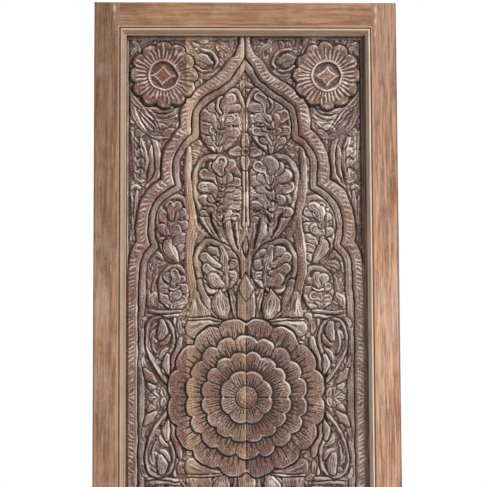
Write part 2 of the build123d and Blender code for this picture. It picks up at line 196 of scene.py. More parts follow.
def blurred(values: np.ndarray, radius: int) -> np.ndarray:
    """Box blur along both ways, done twice so that it comes out soft.

    Args:
        values: Map to blur.
        radius: Cells to each side that are taken in.

    Returns:
        The blurred map.
    """
    out = values
    size = 2 * radius + 1
    for _ in range(2):
        for axis in (0, 1):
            pad = [(0, 0), (0, 0)]
            pad[axis] = (radius + 1, radius)
            total = np.cumsum(np.pad(out, pad, mode="edge"), axis=axis)
            upper = np.take(total, range(size, total.shape[axis]), axis=axis)
            lower = np.take(total, range(0, total.shape[axis] - size), axis=axis)
            out = (upper - lower) / size
    return out


@dataclass
class Canvas:
    """Maps of one upper quarter of the carved field, drawn as the left one, with heights in millimetres."""

    left: float = 123.0
    top: float = 33.0
    right: float = 248.0
    bottom: float = 400.0
    step: float = 0.5
    chance_seed: int = 5
    height: np.ndarray = field(init=False)
    # Pale limewash and painted highlight above nought, painted shade in cuts and on shaded sides below it.
    wash: np.ndarray = field(init=False)
    flow: np.ndarray = field(init=False)
    lines: np.ndarray = field(init=False)
    tint: np.ndarray = field(init=False)
    columns: np.ndarray = field(init=False)
    rows: np.ndarray = field(init=False)
    rng: np.random.Generator = field(init=False)

    def __post_init__(self) -> None:
        """Makes the empty maps and the chance values' seeded source."""
        xs = np.arange(self.left, self.right + self.step / 2, self.step)
        ys = np.arange(self.top, self.bottom + self.step / 2, self.step)
        self.columns, self.rows = np.meshgrid(xs, ys)
        for name in ("height", "wash", "flow", "lines", "tint"):
            setattr(self, name, np.zeros_like(self.columns))
        self.rng = np.random.default_rng(self.chance_seed)

    def window(self, points: np.ndarray, pad: float) -> Window:
        """Part of the maps round some points.

        Args:
            points: Points on the setting-out grid.
            pad: Margin in squares.

        Returns:
            Slices of the rows and the columns.
        """
        low = ((points.min(0) - pad - (self.left, self.top)) / self.step).astype(int)
        high = ((points.max(0) + pad - (self.left, self.top)) / self.step).astype(int) + 1
        rows, cols = self.height.shape
        return (slice(int(np.clip(low[1], 0, rows)), int(np.clip(high[1], 0, rows))),
                slice(int(np.clip(low[0], 0, cols)), int(np.clip(high[0], 0, cols))))

    def lay(self, inside: np.ndarray, win: Window = WHOLE, **values: np.ndarray | float) -> None:
        """Sets maps where a form covers them.

        Args:
            inside: Where the form is.
            win: Part of the maps that it is given for.
            values: New values by the map's name.
        """
        for name, value in values.items():
            layer = getattr(self, name)
            layer[win] = np.where(inside, value, layer[win])

    def sink(self, sunk: np.ndarray, depth: float, win: Window = WHOLE) -> None:
        """Cuts the wood down round a form and clears its limewash and painted light.

        Args:
            sunk: Share cut away.
            depth: Depth of the full cut below the ground in millimetres.
            win: Part of the maps that it is given for.
        """
        self.height[win] = self.height[win] * (1 - sunk) - depth * sunk
        self.wash[win] *= 1 - sunk

    def polar(self, centre: Point) -> tuple[np.ndarray, np.ndarray, np.ndarray, np.ndarray]:
        """Places as seen from a centre.

        Args:
            centre: The centre on the setting-out grid.

        Returns:
            Distances to the right and down, the straight distance, and the turn in degrees.
        """
        right, down = self.columns - centre[0], self.rows - centre[1]
        return right, down, np.hypot(right, down), np.degrees(np.arctan2(down, right))

    def measure(self, curve: np.ndarray, pad: float) -> tuple[Window, np.ndarray, np.ndarray]:
        """Signed distance from a curve and place along it, near the curve.

        Args:
            curve: Curve samples.
            pad: How far from the curve to measure, in squares.

        Returns:
            The window, the signed distance (positive to the right of the way along) and the length run.
        """
        win = self.window(curve, pad)
        xs, ys = self.columns[win], self.rows[win]
        best = np.full(xs.shape, FAR_AWAY)
        along = np.zeros(xs.shape)
        side = np.ones(xs.shape)
        runs = np.concatenate([[0], np.cumsum(np.hypot(*np.diff(curve, axis=0).T))])
        x_first, y_first = (xs[0, 0], ys[0, 0]) if xs.size else (0, 0)
        run = 8
        for k in range(0, len(curve) - 1, run):
            part = curve[k:k + run + 1]
            lo = np.floor((part.min(0) - pad - (x_first, y_first)) / self.step).astype(int)
            hi = np.ceil((part.max(0) + pad - (x_first, y_first)) / self.step).astype(int) + 1
            sub = (slice(max(lo[1], 0), max(hi[1], 0)), slice(max(lo[0], 0), max(hi[0], 0)))
            px, py = xs[sub], ys[sub]
            if not px.size:
                continue
            for i in range(len(part) - 1):
                (ax, ay), (bx, by) = part[i], part[i + 1]
                dx, dy = bx - ax, by - ay
                size = max(dx * dx + dy * dy, 1e-9)
                t = unit(((px - ax) * dx + (py - ay) * dy) / size)
                gap = np.hypot(px - ax - t * dx, py - ay - t * dy)
                near = gap < best[sub]
                best[sub] = np.where(near, gap, best[sub])
                along[sub] = np.where(near, runs[k + i] + t * size ** 0.5, along[sub])
                cross = dx * (py - ay) - dy * (px - ax)
                side[sub] = np.where(near, np.where(cross >= 0, 1.0, -1.0), side[sub])
        return win, best * side, along

    def stroke(self, points: Sequence[Point], half: float | Sequence[float], high: float,
               section: Section = ROUND, taper: float = 0.0, crease: float = 1.0,
               wash: float = 0.0, steps: int = 6, lines: float = 0.7, tint: float | None = None) -> None:
        """Lays one carved stroke over what is there.

        Args:
            points: Its middle line.
            half: Half its width in squares, or several half widths spread along it.
            high: Its height above the ground in millimetres.
            section: Its cross-section.
            taper: 0 keeps the width, 1 draws both ends to a point, 0.5 one end only.
            crease: How strongly the cut round it is sunk.
            wash: How much pale limewash and painted highlight lies along its edges.
            steps: Samples between two points.
            lines: Strength of the fine tool lines along it.
            tint: From -1, greyer, to 1, redder, or None for a chance value.
        """
        chance = self.rng.uniform(-1, 1, 2)
        curve = smooth_curve(points, steps=steps)
        widths = np.atleast_1d(np.asarray(half, dtype=float))
        win, signed, along = self.measure(curve, float(widths.max()) + 2.5)
        if not signed.size:
            return
        share = along / max(curve_length(curve), 1e-6)
        width = np.interp(share, np.linspace(0, 1, len(widths)), widths)
        if taper >= 1:
            width = width * np.clip(np.sin(math.pi * unit(share) ** 0.85), 0.04, 1) ** 0.75
        elif taper > 0:
            width = width * np.clip(1 - share ** 1.6, 0.12, 1)
        gap = np.abs(signed)
        inside = gap < width
        body = profile(section, high, gap, width)
        sunk = unit(crease * np.clip(1.9 - (gap - width), 0, 1.5) / 1.5)
        here = self.height[win]
        outside = here * (1 - sunk) + np.minimum(here, -0.4) * sunk
        self.height[win] = np.where(inside, body, outside)
        kept = np.where(inside, 0.2, 1 - sunk)
        patchy = np.clip(0.62 + 0.9 * value_noise(along / 5 + 40 * chance[1], signed / 6 + 20, 71), 0.1, 1.2)
        edge = wash * bell(gap - width + 1.0, 0.6) * inside * patchy
        self.wash[win] = np.maximum(self.wash[win] * kept, edge) if wash else self.wash[win] * kept
        self.lines[win] = np.where(inside, lines, self.lines[win] * (1 - sunk))
        self.lay(inside, win, flow=signed, tint=chance[0] if tint is None else tint)

    def acanthus(self, points: Sequence[Point], reach: float, count: int, high: float) -> None:
        """Leaf with curled lobes along both sides of its midrib.

        Args:
            points: Midrib from root to tip.
            reach: Length of the longest lobe in squares.
            count: Lobes on one side.
            high: Height in millimetres.
        """
        rib = smooth_curve(points)
        for k in range(count, 0, -1):
            share = k / (count + 0.6)
            at = int(share * (len(rib) - 2))
            way = rib[at + 1] - rib[at]
            heading = math.atan2(way[1], way[0])
            size = reach * (0.55 + 0.45 * math.sin(math.pi * min(1.0, 0.25 + share * 0.75)))
            for side in (1, -1):
                spots = [tuple(rib[at])]
                angle = heading + side * 0.95
                for _ in range(3):
                    last = spots[-1]
                    spots.append((last[0] + size / 3 * math.cos(angle), last[1] + size / 3 * math.sin(angle)))
                    angle -= side * 0.55
                self.stroke(spots, size * 0.27, high * 0.85, SCOOP, taper=1.0, wash=0.95, steps=4)
        self.stroke(points, reach * 0.2, high, VEINED, taper=1.0, wash=0.9)

    def curl(self, root: Point, centre: Point, radius: float, bend: float, high: float = 6.6,
             tint: float | None = None) -> None:
        """Leaf lobe that swells from its root and ends in a round curled tip.

        Args:
            root: Where it leaves its midrib.
            centre: Middle of the curled tip.
            radius: Radius of the tip in squares.
            bend: How far its middle line bows to the right of the way, in squares.
            high: Height in millimetres.
            tint: From -1, greyer, to 1, redder, or None for a chance value.
        """
        run_x, run_y = centre[0] - root[0], centre[1] - root[1]
        size = max(math.hypot(run_x, run_y), 0.1)
        side_x, side_y = -run_y / size, run_x / size
        middle = (root[0] + 0.55 * run_x + bend * side_x, root[1] + 0.55 * run_y + bend * side_y)
        tone = float(self.rng.uniform(-1, 1)) if tint is None else tint
        rise, depth, section = self.rng.uniform(-1.2, 1.2), self.rng.uniform(0.3, 1.0), self.rng.integers(0, 3)
        pale = float(self.rng.uniform(0.25, 1.05))
        self.stroke((root, middle, centre), (0.55 * radius, 1.05 * radius, radius), high + rise,
                    (SCOOP, VEINED, ROUND)[section], crease=depth, wash=pale, lines=0.9, tint=tone)
        turn = math.atan2(run_y, run_x) + (0.5 if bend > 0 else -0.5)

        def arc(share: float, steps: Sequence[float]) -> list[Point]:
            """Points round the tip, at a share of its radius."""
            return [(centre[0] + share * radius * math.cos(turn + step),
                     centre[1] + share * radius * math.sin(turn + step)) for step in steps]

        # A dark line of painted shade round the inside of the curled tip, and a pale line near its rim.
        if section < 2:
            self.incise(arc(0.42, (-1.6, -0.5, 0.6, 1.7)), 1.6, 0.6, wash=-0.9 * depth)
        self.incise(arc(0.8, (-1.2, -0.4, 0.4, 1.2)), 0.1, 0.55, wash=pale)

    def frond(self, rib: Sequence[Point], tips: Sequence[tuple[float, Point, float]], high: float = 6.6,
              half: float = 2.2) -> None:
        """Scrolled leaf: curled lobes leave its midrib on both sides.

        Args:
            rib: Midrib from root to tip.
            tips: For each lobe the share of the way up where it leaves, its tip's middle and radius.
            high: Height in millimetres.
            half: Half the midrib's width at its root, in squares.
        """
        curve = smooth_curve(rib)
        self.stroke(rib, (half * 1.5, half * 1.1, half * 0.8, 0.8), high - 0.6, SCOOP, crease=0.5, wash=0.5,
                    lines=0.8)
        for share, centre, radius in tips:
            centre = (centre[0] + self.rng.uniform(-0.9, 0.9), centre[1] + self.rng.uniform(-1.4, 1.4))
            radius *= self.rng.uniform(0.95, 1.4)
            share += self.rng.uniform(-0.06, 0.04)
            at = min(int(max(share - 0.16, 0) * (len(curve) - 1)), len(curve) - 2)
            root, way = curve[at], curve[at + 1] - curve[at]
            cross = way[0] * (centre[1] - root[1]) - way[1] * (centre[0] - root[0])
            reach = math.hypot(centre[0] - root[0], centre[1] - root[1])
            self.curl(tuple(root), centre, radius, (-0.26 if cross > 0 else 0.26) * reach, high)
        self.incise(rib[:-1], 1.5, 0.7, wash=-0.5)

    def ticks(self, start: Point, end: Point, count: int, reach: Point, wash: float = 0.9) -> None:
        """Row of short slanting cuts between two points, by turns pale and dark with painted shade.

        Args:
            start: Middle of the first cut.
            end: Middle of the last cut.
            count: How many pale cuts.
            reach: Run of each cut to the right and down.
            wash: Strength of the pale limewash and highlight and of the painted shade.
        """
        for k in range(2 * count - 1):
            share = k / max(1, 2 * count - 2)
            x, y = start[0] + share * (end[0] - start[0]), start[1] + share * (end[1] - start[1])
            wide = 0.85 + 0.15 * math.sin(5.1 * k)
            run_x, run_y = reach[0] * wide / 2, reach[1] * wide / 2
            depth, tone = (0.6, wash) if k % 2 == 0 else (1.6, -wash)
            self.incise(((x - run_x, y - run_y), (x + run_x, y + run_y)), depth, 0.55, wash=tone)

    def boss(self, centre: Point, reach: Point, high: float) -> None:
        """Swells the carving gently round a point.

        Args:
            centre: Middle of the swelling.
            reach: How far it goes sideways and up and down, in squares.
            high: Rise at the middle in millimetres.
        """
        gap = ((self.columns - centre[0]) / reach[0]) ** 2 + ((self.rows - centre[1]) / reach[1]) ** 2
        self.height += high * unit(1 - gap) ** 1.2

    def incise(self, points: Sequence[Point], depth: float = 0.9, half: float = 0.6, wash: float = 0.8) -> None:
        """Cuts a fine line.

        Args:
            points: Its middle line.
            depth: Its depth in millimetres.
            half: Half its width in squares.
            wash: Strength of the limewash left in it, negative for a dark line of painted shade in the cut.
        """
        curve = smooth_curve(points, steps=4)
        win, signed, _ = self.measure(curve, 2.0)
        if not signed.size:
            return
        line = bell(signed, half)
        self.height[win] -= depth * line
        here = self.wash[win]
        self.wash[win] = np.where(np.abs(wash) * line > np.abs(here), wash * line, here)


class Side(Enum):
    """Left or right half of the door, seen from the front."""

    LEFT = -1
    RIGHT = 1


Leaf = tuple[tuple[Point, ...], float, float, Section, float]


@dataclass
class Carving:
    """All carved work of one upper quarter, set out on the carver's grid."""

    side: Side
    canvas: Canvas = field(default_factory=Canvas)
    rosette_centre: Point = (164.0, 75.5)
    ground_cell: float = 7.4
    border_column: float = 129.0
    # Outer line of the bead round the arch, one row to a lobe.
    arch: tuple[tuple[Point, ...], ...] = (
        ((246.4, 33), (246.3, 45), (245.6, 57), (240, 66), (232, 78), (222, 87), (210, 95), (202, 101), (196, 107),
         (193, 116), (192.5, 136)),
        ((192.5, 136), (186, 140), (180, 147), (176, 155), (174, 163), (173, 175), (174.5, 187)),
        ((174.5, 187), (163, 194), (157, 200), (152, 208), (149.5, 217), (148.5, 230), (149, 240), (151, 247)),
        ((151, 247), (144, 255), (140.5, 263), (139, 275), (138.5, 300), (138.5, 340), (138.5, 402)),
    )
    # The medallion's tiers from the outside in: petals, outer and inner radius, height of the rim, fall inwards.
    tiers: tuple[tuple[int, float, float, float, float], ...] = (
        (16, 79.0, 61.0, 5.8, 2.8), (18, 61.0, 45.0, 7.8, 2.8), (16, 45.0, 26.5, 9.6, 2.8),
        (8, 26.5, 11.0, 11.0, 2.2))

    def draw(self) -> Canvas:
        """Draws every motif in the order in which one lies over another.

        Returns:
            The finished maps.
        """
        self.ground()
        self.side_strip()
        self.spandrel_foliage()
        self.upper_loop()
        self.middle_loop()
        self.side_loop()
        self.lower_foliage()
        self.arch_bands()
        self.beside_medallion()
        self.corner_rosette()
        self.medallion()
        self.field_edge()
        return self.canvas

    def ground(self) -> None:
        """Low ground, nearly all covered by small curled leaves that follow one another."""
        c = self.canvas
        c.height[:] = 0.2 + 0.5 * value_noise(c.columns / 2.5, c.rows / 3.5, 13)
        seed = 100 + self.side.value * 7
        rng = np.random.default_rng(seed)
        spots = [(x, y) for y in np.arange(38, 402, self.ground_cell) for x in np.arange(129, 250, self.ground_cell)]
        sections = (SCOOP, SCOOP, VEINED, ROUND)
        for x, y in spots:
            x, y = x + rng.uniform(-2.4, 2.4), y + rng.uniform(-2.4, 2.4)
            values = rng.uniform(0, 1, 6)
            under_medallion = math.hypot(x - MID_COLUMN, y - MID_ROW) < 72
            under_rosette = math.hypot(x - self.rosette_centre[0], y - self.rosette_centre[1]) < 28
            if under_medallion or under_rosette:
                continue
            swirl = float(value_noise(np.array([x / 26]), np.array([y / 30]), seed)[0])
            angle = math.pi * (0.5 + 1.3 * swirl) + (values[0] - 0.5) * 0.7
            curl = (1 if values[1] > 0.45 else -1) * (0.35 + 0.35 * values[2])
            size = 9.5 + 6 * values[3]
            points = [(x, y)]
            for _ in range(3):
                last = points[-1]
                points.append((last[0] + size / 3 * math.cos(angle), last[1] + size / 3 * math.sin(angle)))
                angle += curl
            c.stroke(points, 1.9 + 1.5 * values[4], 2.8 + 2.6 * values[5], sections[int(values[0] * 4) % 4],
                     taper=1.0, wash=0.35 + 0.7 * values[3], steps=3, lines=0.9)

    def field_edge(self) -> None:
        """Plain flat border along the frame, with a dark cut inside it."""
        c = self.canvas
        edge = c.columns < self.border_column
        c.lay(edge, height=4.5, wash=0.35)
        # Painted shade in the groove inside the border.
        groove = (c.columns >= self.border_column) & (c.columns < self.border_column + 1.8) & (c.rows < 246)
        c.lay(groove, height=0.0, wash=-0.4)
        head = (c.rows < 39.0) & (c.columns < 238)
        c.lay(head, height=5.0, wash=0.15)
        c.lay(edge | head, lines=0.0)

    def leaves(self, items: Sequence[Leaf]) -> None:
        """Lays a list of small leaves.

        Args:
            items: For each its middle line, half width, height, section and taper.
        """
        for points, half, high, section, taper in items:
            self.canvas.stroke(points, half, high, section, taper=taper, crease=0.75, wash=0.75, lines=0.9)

    def arch_bands(self) -> None:
        """Hatched rope moulding round the lobed arch, with the bead inside it."""
        c = self.canvas
        best = np.full(c.height.shape, FAR_AWAY)
        signed, along = np.zeros(c.height.shape), np.zeros(c.height.shape)
        run = 0.0
        for lobe in self.arch:
            curve = smooth_curve(lobe)
            win, gap, place = c.measure(curve, 15)
            near = np.abs(gap) < best[win]
            best[win] = np.where(near, np.abs(gap), best[win])
            signed[win] = np.where(near, gap, signed[win])
            along[win] = np.where(near, place + run, along[win])
            run += curve_length(curve)
        bead_wide = 7.0
        wide = 12.0 - 1.2 * unit((c.rows - 246) / 20) - 6.5 * unit((60 - c.rows) / 18)
        inward = -signed
        by_arch = best < 20
        on_rope = (signed > 0) & (signed < wide) & by_arch
        on_bead = (inward >= 0) & (inward < bead_wide) & by_arch
        sunk = cut_round(np.maximum(signed - wide, inward - bead_wide), 2.4, 1.6) * by_arch
        c.sink(sunk, 0.8)
        c.lines[:] *= 1 - sunk

        share = unit(signed / wide)
        wobble = value_noise(along / 5, share * 2, 21)
        hatching = np.cos(2 * math.pi * (along / 4.1 - share * 1.3 + 0.35 * wobble))
        strength = np.clip(1.0 + 1.0 * value_noise(along / 5, share * 2.5, 22), 0.15, 1.4)
        hatch = unit(hatching - 0.55) / 0.45 * (share > 0.3) * (share < 0.82)
        rope = 7.4 * unit(1 - (2 * share - 1) ** 8) - 0.8 * hatch + 0.15 * unit(hatching + 0.3)
        rope -= 1.6 * bell(share - 0.16, 0.035)
        # Painted shade in the hatching's grooves.
        dark = 0.8 * unit(-hatching - 0.5) * (share > 0.28) * (share < 0.85) * strength
        c.lay(on_rope, height=rope, wash=strength * hatch + 0.5 * (share < 0.09) - dark, lines=0.3, flow=signed,
              tint=0.55)

        broad = np.sqrt(unit(1 - ((inward - 3.2) / 2.5) ** 2))
        narrow = np.sqrt(unit(1 - ((inward - 6.3) / 0.9) ** 2))
        groove = bell(inward - 0.4, 0.6)
        bead = np.maximum(2.0 + 3.6 * broad, 2.0 + 2.6 * narrow) - 3.2 * groove
        # Painted shade in the groove at the bead's outer foot.
        c.lay(on_bead, height=bead, wash=0.4 * bell(inward - 5.5, 0.45) - 0.8 * groove, flow=inward, lines=0.4,
              tint=0.5 * value_noise(along / 30, along * 0, 23))

    def corner_rosette(self) -> None:
        """Twelve-petalled flower with a rimmed button cut in a diamond."""
        c = self.canvas
        dx, dy, r, turn = c.polar(self.rosette_centre)
        petal = ((turn + 15) / 30) % 1 - 0.5
        wide = math.radians(30) * r
        edge = 34.6 - 4.2 * np.abs(2 * petal) ** 2.4
        inside, rim = r < edge, edge - r
        tenth = (turn / 10 + 0.08 * value_noise(r / 6, turn / 9, 35)) % 1
        from_cut = np.where(tenth > 0.5, tenth - 1, tenth) * math.radians(10) * r
        uneven = unit(0.55 + 0.9 * value_noise(c.columns / 7, c.rows / 7, 31 + self.side.value))
        ends = 29.5 + 5.0 * value_noise(turn / 9, turn * 0, 33)
        reach = (r > 16.5) * (r < ends) * (rim > 2.5)
        line = bell(from_cut, 0.56) * reach
        shade = bell(from_cut - 1.3, 0.6) * reach
        division = bell((0.5 - np.abs(petal)) * wide, 0.45) * unit((r - 24) / 8)
        body = 8.4 - 2.9 * unit(rim / 18) - 1.0 * np.abs(2 * petal) ** 3 - 1.6 * unit((1.8 - rim) / 1.8)
        body = body - 0.3 * line - 0.8 * shade - 1.5 * division
        blot = unit(3.2 * value_noise(c.columns / 3.2, c.rows / 3.2, 37) - 1.2)
        tip = unit(1 - np.hypot(petal * wide / 2.6, (rim - 2.6) / 1.8))
        # Pale cut lines, tips and blots, with painted shade beside each cut line and in the divisions between petals.
        wash = (1.6 * line * unit(uneven + 0.5) - 1.0 * shade - 1.0 * division + 1.2 * tip * uneven - 0.36
                + 0.8 * blot * (r > 19))
        c.lay(inside, height=body, wash=wash, lines=0.55, tint=1.3, flow=from_cut)
        from_ring = np.abs(r - 15)
        c.lay(from_ring < 1.6, height=6.2 + 1.5 * bell(from_ring, 1.3))
        c.lay(from_ring < 0.8, wash=0.9 * unit(uneven + 0.2))
        diamond = np.abs(dx + 0.3) ** 0.76 / 11.0 ** 0.76 + np.abs(dy) ** 0.76 / 9.8 ** 0.76
        scoop = 3.0 + 1.2 * unit(1 - (diamond - 1) * 2.5)
        # Painted shade in the well round the diamond and a little on it, with pale lines along the diamond's edge.
        c.lay(r < 13.6, height=np.where(diamond < 1, 4.8 - 0.006 * r ** 2, scoop),
              wash=0.85 * bell(diamond - 1, 0.07) - 0.5 * (diamond > 1.12) - 0.25 * (diamond < 0.9))
        c.lay(r < 16.5, lines=0.0)
        c.sink(cut_round(r - edge, 2.3, 1.6), 0.8)

    def medallion(self) -> None:
        """Four tiers of petals round a button at the middle of the door."""
        c = self.canvas
        dx, dy, r, turn = c.polar((MID_COLUMN, MID_ROW))
        uneven = unit(0.5 + 1.1 * value_noise(c.columns / 8, c.rows / 8, 51 + self.side.value))
        for count, outer, inner, high, fall in self.tiers:
            place = turn / (360 / count) + (0.08 * value_noise(r / 30, turn / 14, 53) if count > 8 else 0)
            petal = place % 1 - 0.5
            edge = outer - (0.055 * outer + 1.4) * np.abs(2 * petal) ** 2.8
            inside, rim, span = r < edge, edge - r, outer - inner
            wide = math.radians(360 / count) * r
            from_division = (0.5 - np.abs(petal)) * wide
            division = bell(from_division, 0.62) * (rim > 1)
            marks = np.minimum(np.abs(petal), np.minimum(np.abs(petal - 0.22), np.abs(petal + 0.22)))
            reach = inner + span * (0.42 + 0.12 * np.cos(petal * 19))
            cuts = bell(marks * wide, 0.62) * (r < reach)
            body = high - fall * unit(rim / span) ** 1.3 - 0.8 * np.abs(2 * petal) ** 4
            body -= 1.3 * unit((1.6 - rim) / 1.6) ** 2
            body = body - 1.4 * division - 1.2 * cuts
            notch = unit(1 - np.hypot(from_division / 2.2, (rim - 1.2) / 2.0))
            # Pale rim line and notches: painted highlight where the rims catch the light, with limewash.
            pale = 1.1 * bell(rim - 1.2, 0.6) * uneven + 1.5 * notch * uneven
            sunk = cut_round(r - edge, 1.9, 1.2)
            # Painted shadow: near-black in the cut round each tier and darker towards it across the tier below.
            shaded = 0.34 * unit(1 - (r - edge) / 6) * (r > edge)
            tone = 0.45 + 0.7 * value_noise(np.round(place) * 1.7, place * 0 + count, 57 + self.side.value)
            c.height[:] = c.height * (1 - sunk) + np.minimum(c.height, high - fall - 3.6) * sunk
            c.wash[:] = (c.wash - shaded) * (1 - sunk) - 0.9 * sunk
            c.lines[:] *= 1 - sunk
            # Dark divisions and radial cuts are painted shade in the cuts.
            c.lay(inside, height=body, wash=pale - 0.7 * division - 1.0 * cuts - 0.08, flow=petal * wide, lines=0.6,
                  tint=tone)
        seam_row = MID_ROW - 0.5
        c.incise(((176, seam_row), (212, seam_row), (MID_COLUMN, seam_row)), 0.5, 0.6, wash=-0.6)
        # Painted shade in the cross and ring cut on the button.
        cross = bell(np.abs(dx) + np.abs(dy) - 6.5, 0.6) + bell(r - 8.4, 0.5)
        c.lay(r < 10.5, height=11.8 - 0.02 * r ** 2 - 1.0 * cross, wash=-0.6 * cross + 0.3 * uneven * (r < 4),
              lines=0.0)
        c.height[:] -= 2.2 * bell(r - 11.0, 0.8)

    def loop(self, points: Sequence[Point], wide: float = 5.5, high: float = 7.0, tint: float = 0.3) -> None:
        """Lays one closed stem round a group of leaves, sharp on its outside and falling away inwards.

        Args:
            points: Its outer edge.
            wide: Its width in squares.
            high: Height of its outer edge in millimetres.
            tint: From -1, greyer, to 1, redder.
        """
        c = self.canvas
        curve = smooth_curve(points, True)
        around = np.roll(curve, -1, axis=0)
        area = float((curve[:, 0] * around[:, 1] - around[:, 0] * curve[:, 1]).sum())
        win, signed, along = c.measure(curve, wide + 3)
        inward = signed if area > 0 else -signed
        share = inward / wide
        on_it = (inward >= 0) & (inward < wide)
        fall = unit(1 - ((share - 0.3) / 0.72) ** 2) ** 0.6
        inner = 0.5 + 0.5 * value_noise(along / 14, along * 0, 61)
        body = high * (0.3 + 0.7 * fall) - 1.5 * inner * unit(share - 0.75) * 4
        patchy = np.clip(0.55 + 1.1 * value_noise(along / 9, share, 62), 0, 1.2)
        sunk = cut_round(-inward, 2.2, 1.4)
        c.sink(sunk, 0.6, win)
        c.lines[win] *= 1 - sunk
        c.lay(on_it, win, height=body, wash=0.9 * patchy * bell(share - 0.45, 0.13), flow=inward, lines=0.8,
              tint=tint)

    def side_strip(self) -> None:
        """Long leaves between the rope moulding and the frame."""
        c = self.canvas
        self.leaves((
            (((131.5, 134), (134, 145), (134.5, 160), (133.5, 180)), 2.6, 4.5, ROUND, 0.5),
            (((131.5, 196), (133.5, 205), (134, 218), (133.2, 232)), 2, 5.5, ROUND, 1),
            (((144.5, 192), (140.5, 200), (139, 212), (137, 230)), 2.4, 5.5, ROUND, 1),
            (((138, 191), (137, 200), (136.5, 214), (135.5, 228)), 2.2, 6.2, VEINED, 1),
            (((132, 190), (136, 187.5), (140, 190)), 1.8, 6, ROUND, 0),
        ))
        for k, row in enumerate((182, 174, 166, 158, 150, 143)):
            reach = 8.5 + 1.5 * math.sin(2.3 * k)
            c.stroke(((136.5, row - 9), (138.5, row - 3), (138 + reach * 0.6, row + 1)), (1.2, 3.6, 2.4),
                     5.2 + 0.5 * (k % 2), SCOOP, crease=0.6, wash=1.1, lines=0.9, tint=-0.8 + 0.4 * (k % 3))
            c.incise(((137.5, row - 1), (141, row - 3.5), (144, row - 1)), 1.8, 0.7, wash=-1)
        c.stroke(((153, 146), (151.5, 158), (153.5, 171), (149.5, 184)), (1, 3.4, 3.6, 1.2), 5.8, wash=0.7, tint=0.9)
        c.stroke(((150, 133), (155.5, 142), (158, 153), (158.3, 167), (156, 180), (148, 190)),
                 (1.6, 2.6, 2.8, 2.8, 3, 2), 6.6, wash=0.9, tint=0.5)
        c.incise(((147.5, 142), (147.8, 156), (147.2, 170), (148.5, 180)), 1.6, 0.9, wash=-1)
        c.stroke(((142, 140), (144.5, 152), (145.5, 165), (144, 178)), (1.6, 3.4, 3.8, 2.6), 6.8, VEINED, crease=0.3,
                 wash=0.9, lines=0.9, tint=-0.5)
        for row in (149, 159.5, 170):
            c.incise(((137.5, row + 1), (140.5, row - 1.8), (144.5, row + 0.5), (145.5, row + 3.5)), 2.2, 0.8,
                     wash=-1)
            c.incise(((138, row + 3.4), (141.5, row + 1.4), (143.5, row + 3.5)), 0.2, 0.6, wash=1)
        c.boss((144, 165), (16, 28), 1.8)

    def spandrel_foliage(self) -> None:
        """Calyx, bud and sweeping leaves under the corner flower, and the bud beside the arch's point."""
        c = self.canvas
        c.frond(((160, 139), (148, 128), (139, 114), (133, 99)), ((0.35, (139, 133), 3.6), (0.6, (134, 121), 3.6),
                (0.8, (132, 109), 3.2)), 5.4)
        self.leaves((
            (((131, 98), (133.5, 112), (140, 125), (149, 135), (158, 141)), 4.4, 5.4, VEINED, 0.5),
            (((187, 106), (184.5, 119), (178, 130), (168, 137.5), (156, 139), (147, 133)), 4.2, 5.8, VEINED, 0.5),
            (((131, 92), (135, 101), (143, 107.5), (155, 111.5), (168, 110.5), (178, 104)), 3, 5.6, SCOOP, 0),
            (((145, 111), (155, 118), (166, 119.5), (176, 115), (183, 106)), 3.4, 6.2, SCOOP, 0),
            (((141, 113), (147, 122), (155, 130), (164, 133)), 3.2, 5.4, SCOOP, 1),
            (((185, 104), (182, 112), (183, 122)), 3, 5, SCOOP, 1),
            (((155, 122.5), (165, 126), (175, 121)), 3.4, 6.6, SCOOP, 1),
            (((155, 132), (161, 127.5), (169, 129)), 3.4, 6.2, ROUND, 1),
            (((163, 137), (168, 133), (175, 130)), 2.6, 5.6, SCOOP, 1),
            (((132, 41), (138, 46), (141, 52)), 2.6, 5, VEINED, 1),
            (((131, 56), (134, 50), (140, 45)), 2, 4.4, SCOOP, 1),
            (((177, 44), (184, 48), (190, 57), (193, 70)), 3.2, 5.2, SCOOP, 0.5),
            (((193, 74), (195, 84), (190, 93)), 3, 4.6, SCOOP, 1),
            (((199, 74), (207, 77), (215, 75), (222, 68)), 2.6, 4.4, SCOOP, 1),
            (((220, 45), (227, 47), (232, 54)), 2.4, 4.6, SCOOP, 1),
        ))
        for shift in (0, 4.2, 8.4):
            c.incise(((138 + shift, 111 - shift * 0.3), (147 + shift, 120), (156 + shift * 0.6, 130)), 1.2, 0.7,
                     wash=-0.9)
            c.incise(((140 + shift, 110.5 - shift * 0.3), (149 + shift, 119.5), (157 + shift * 0.6, 128)), 0.2, 0.6,
                     wash=0.9)
        c.incise(((152, 113.5), (161, 114), (172, 111.5)), 1.4, 0.8, wash=-0.9)
        c.incise(((154, 119), (164, 120), (175, 116)), 1.4, 0.8, wash=-0.9)
        c.incise(((132, 93), (138, 101), (147, 108.5), (160, 110.5)), 0.1, 0.8, wash=1)
        c.stroke(((172, 108), (178, 104.5), (185, 101)), (1.2, 2.8, 1.6), 6.6, wash=1.3, tint=-0.8)
        c.stroke(((196, 58), (204, 60), (213, 62)), (2, 8, 7, 2), 7.4, wash=0.7)
        c.stroke(((201, 48), (208, 49.5), (214, 53), (219, 62), (216, 67)), 1.5, 6.8, wash=0.9)
        c.stroke(((197, 66), (204, 70.5), (212, 70)), 1.3, 5.5, wash=0.8)
        c.incise(((200, 54), (206, 53), (212, 57)), 0.7)
        c.incise(((199, 60), (206, 62), (212, 66)), 0.7, wash=-0.8)

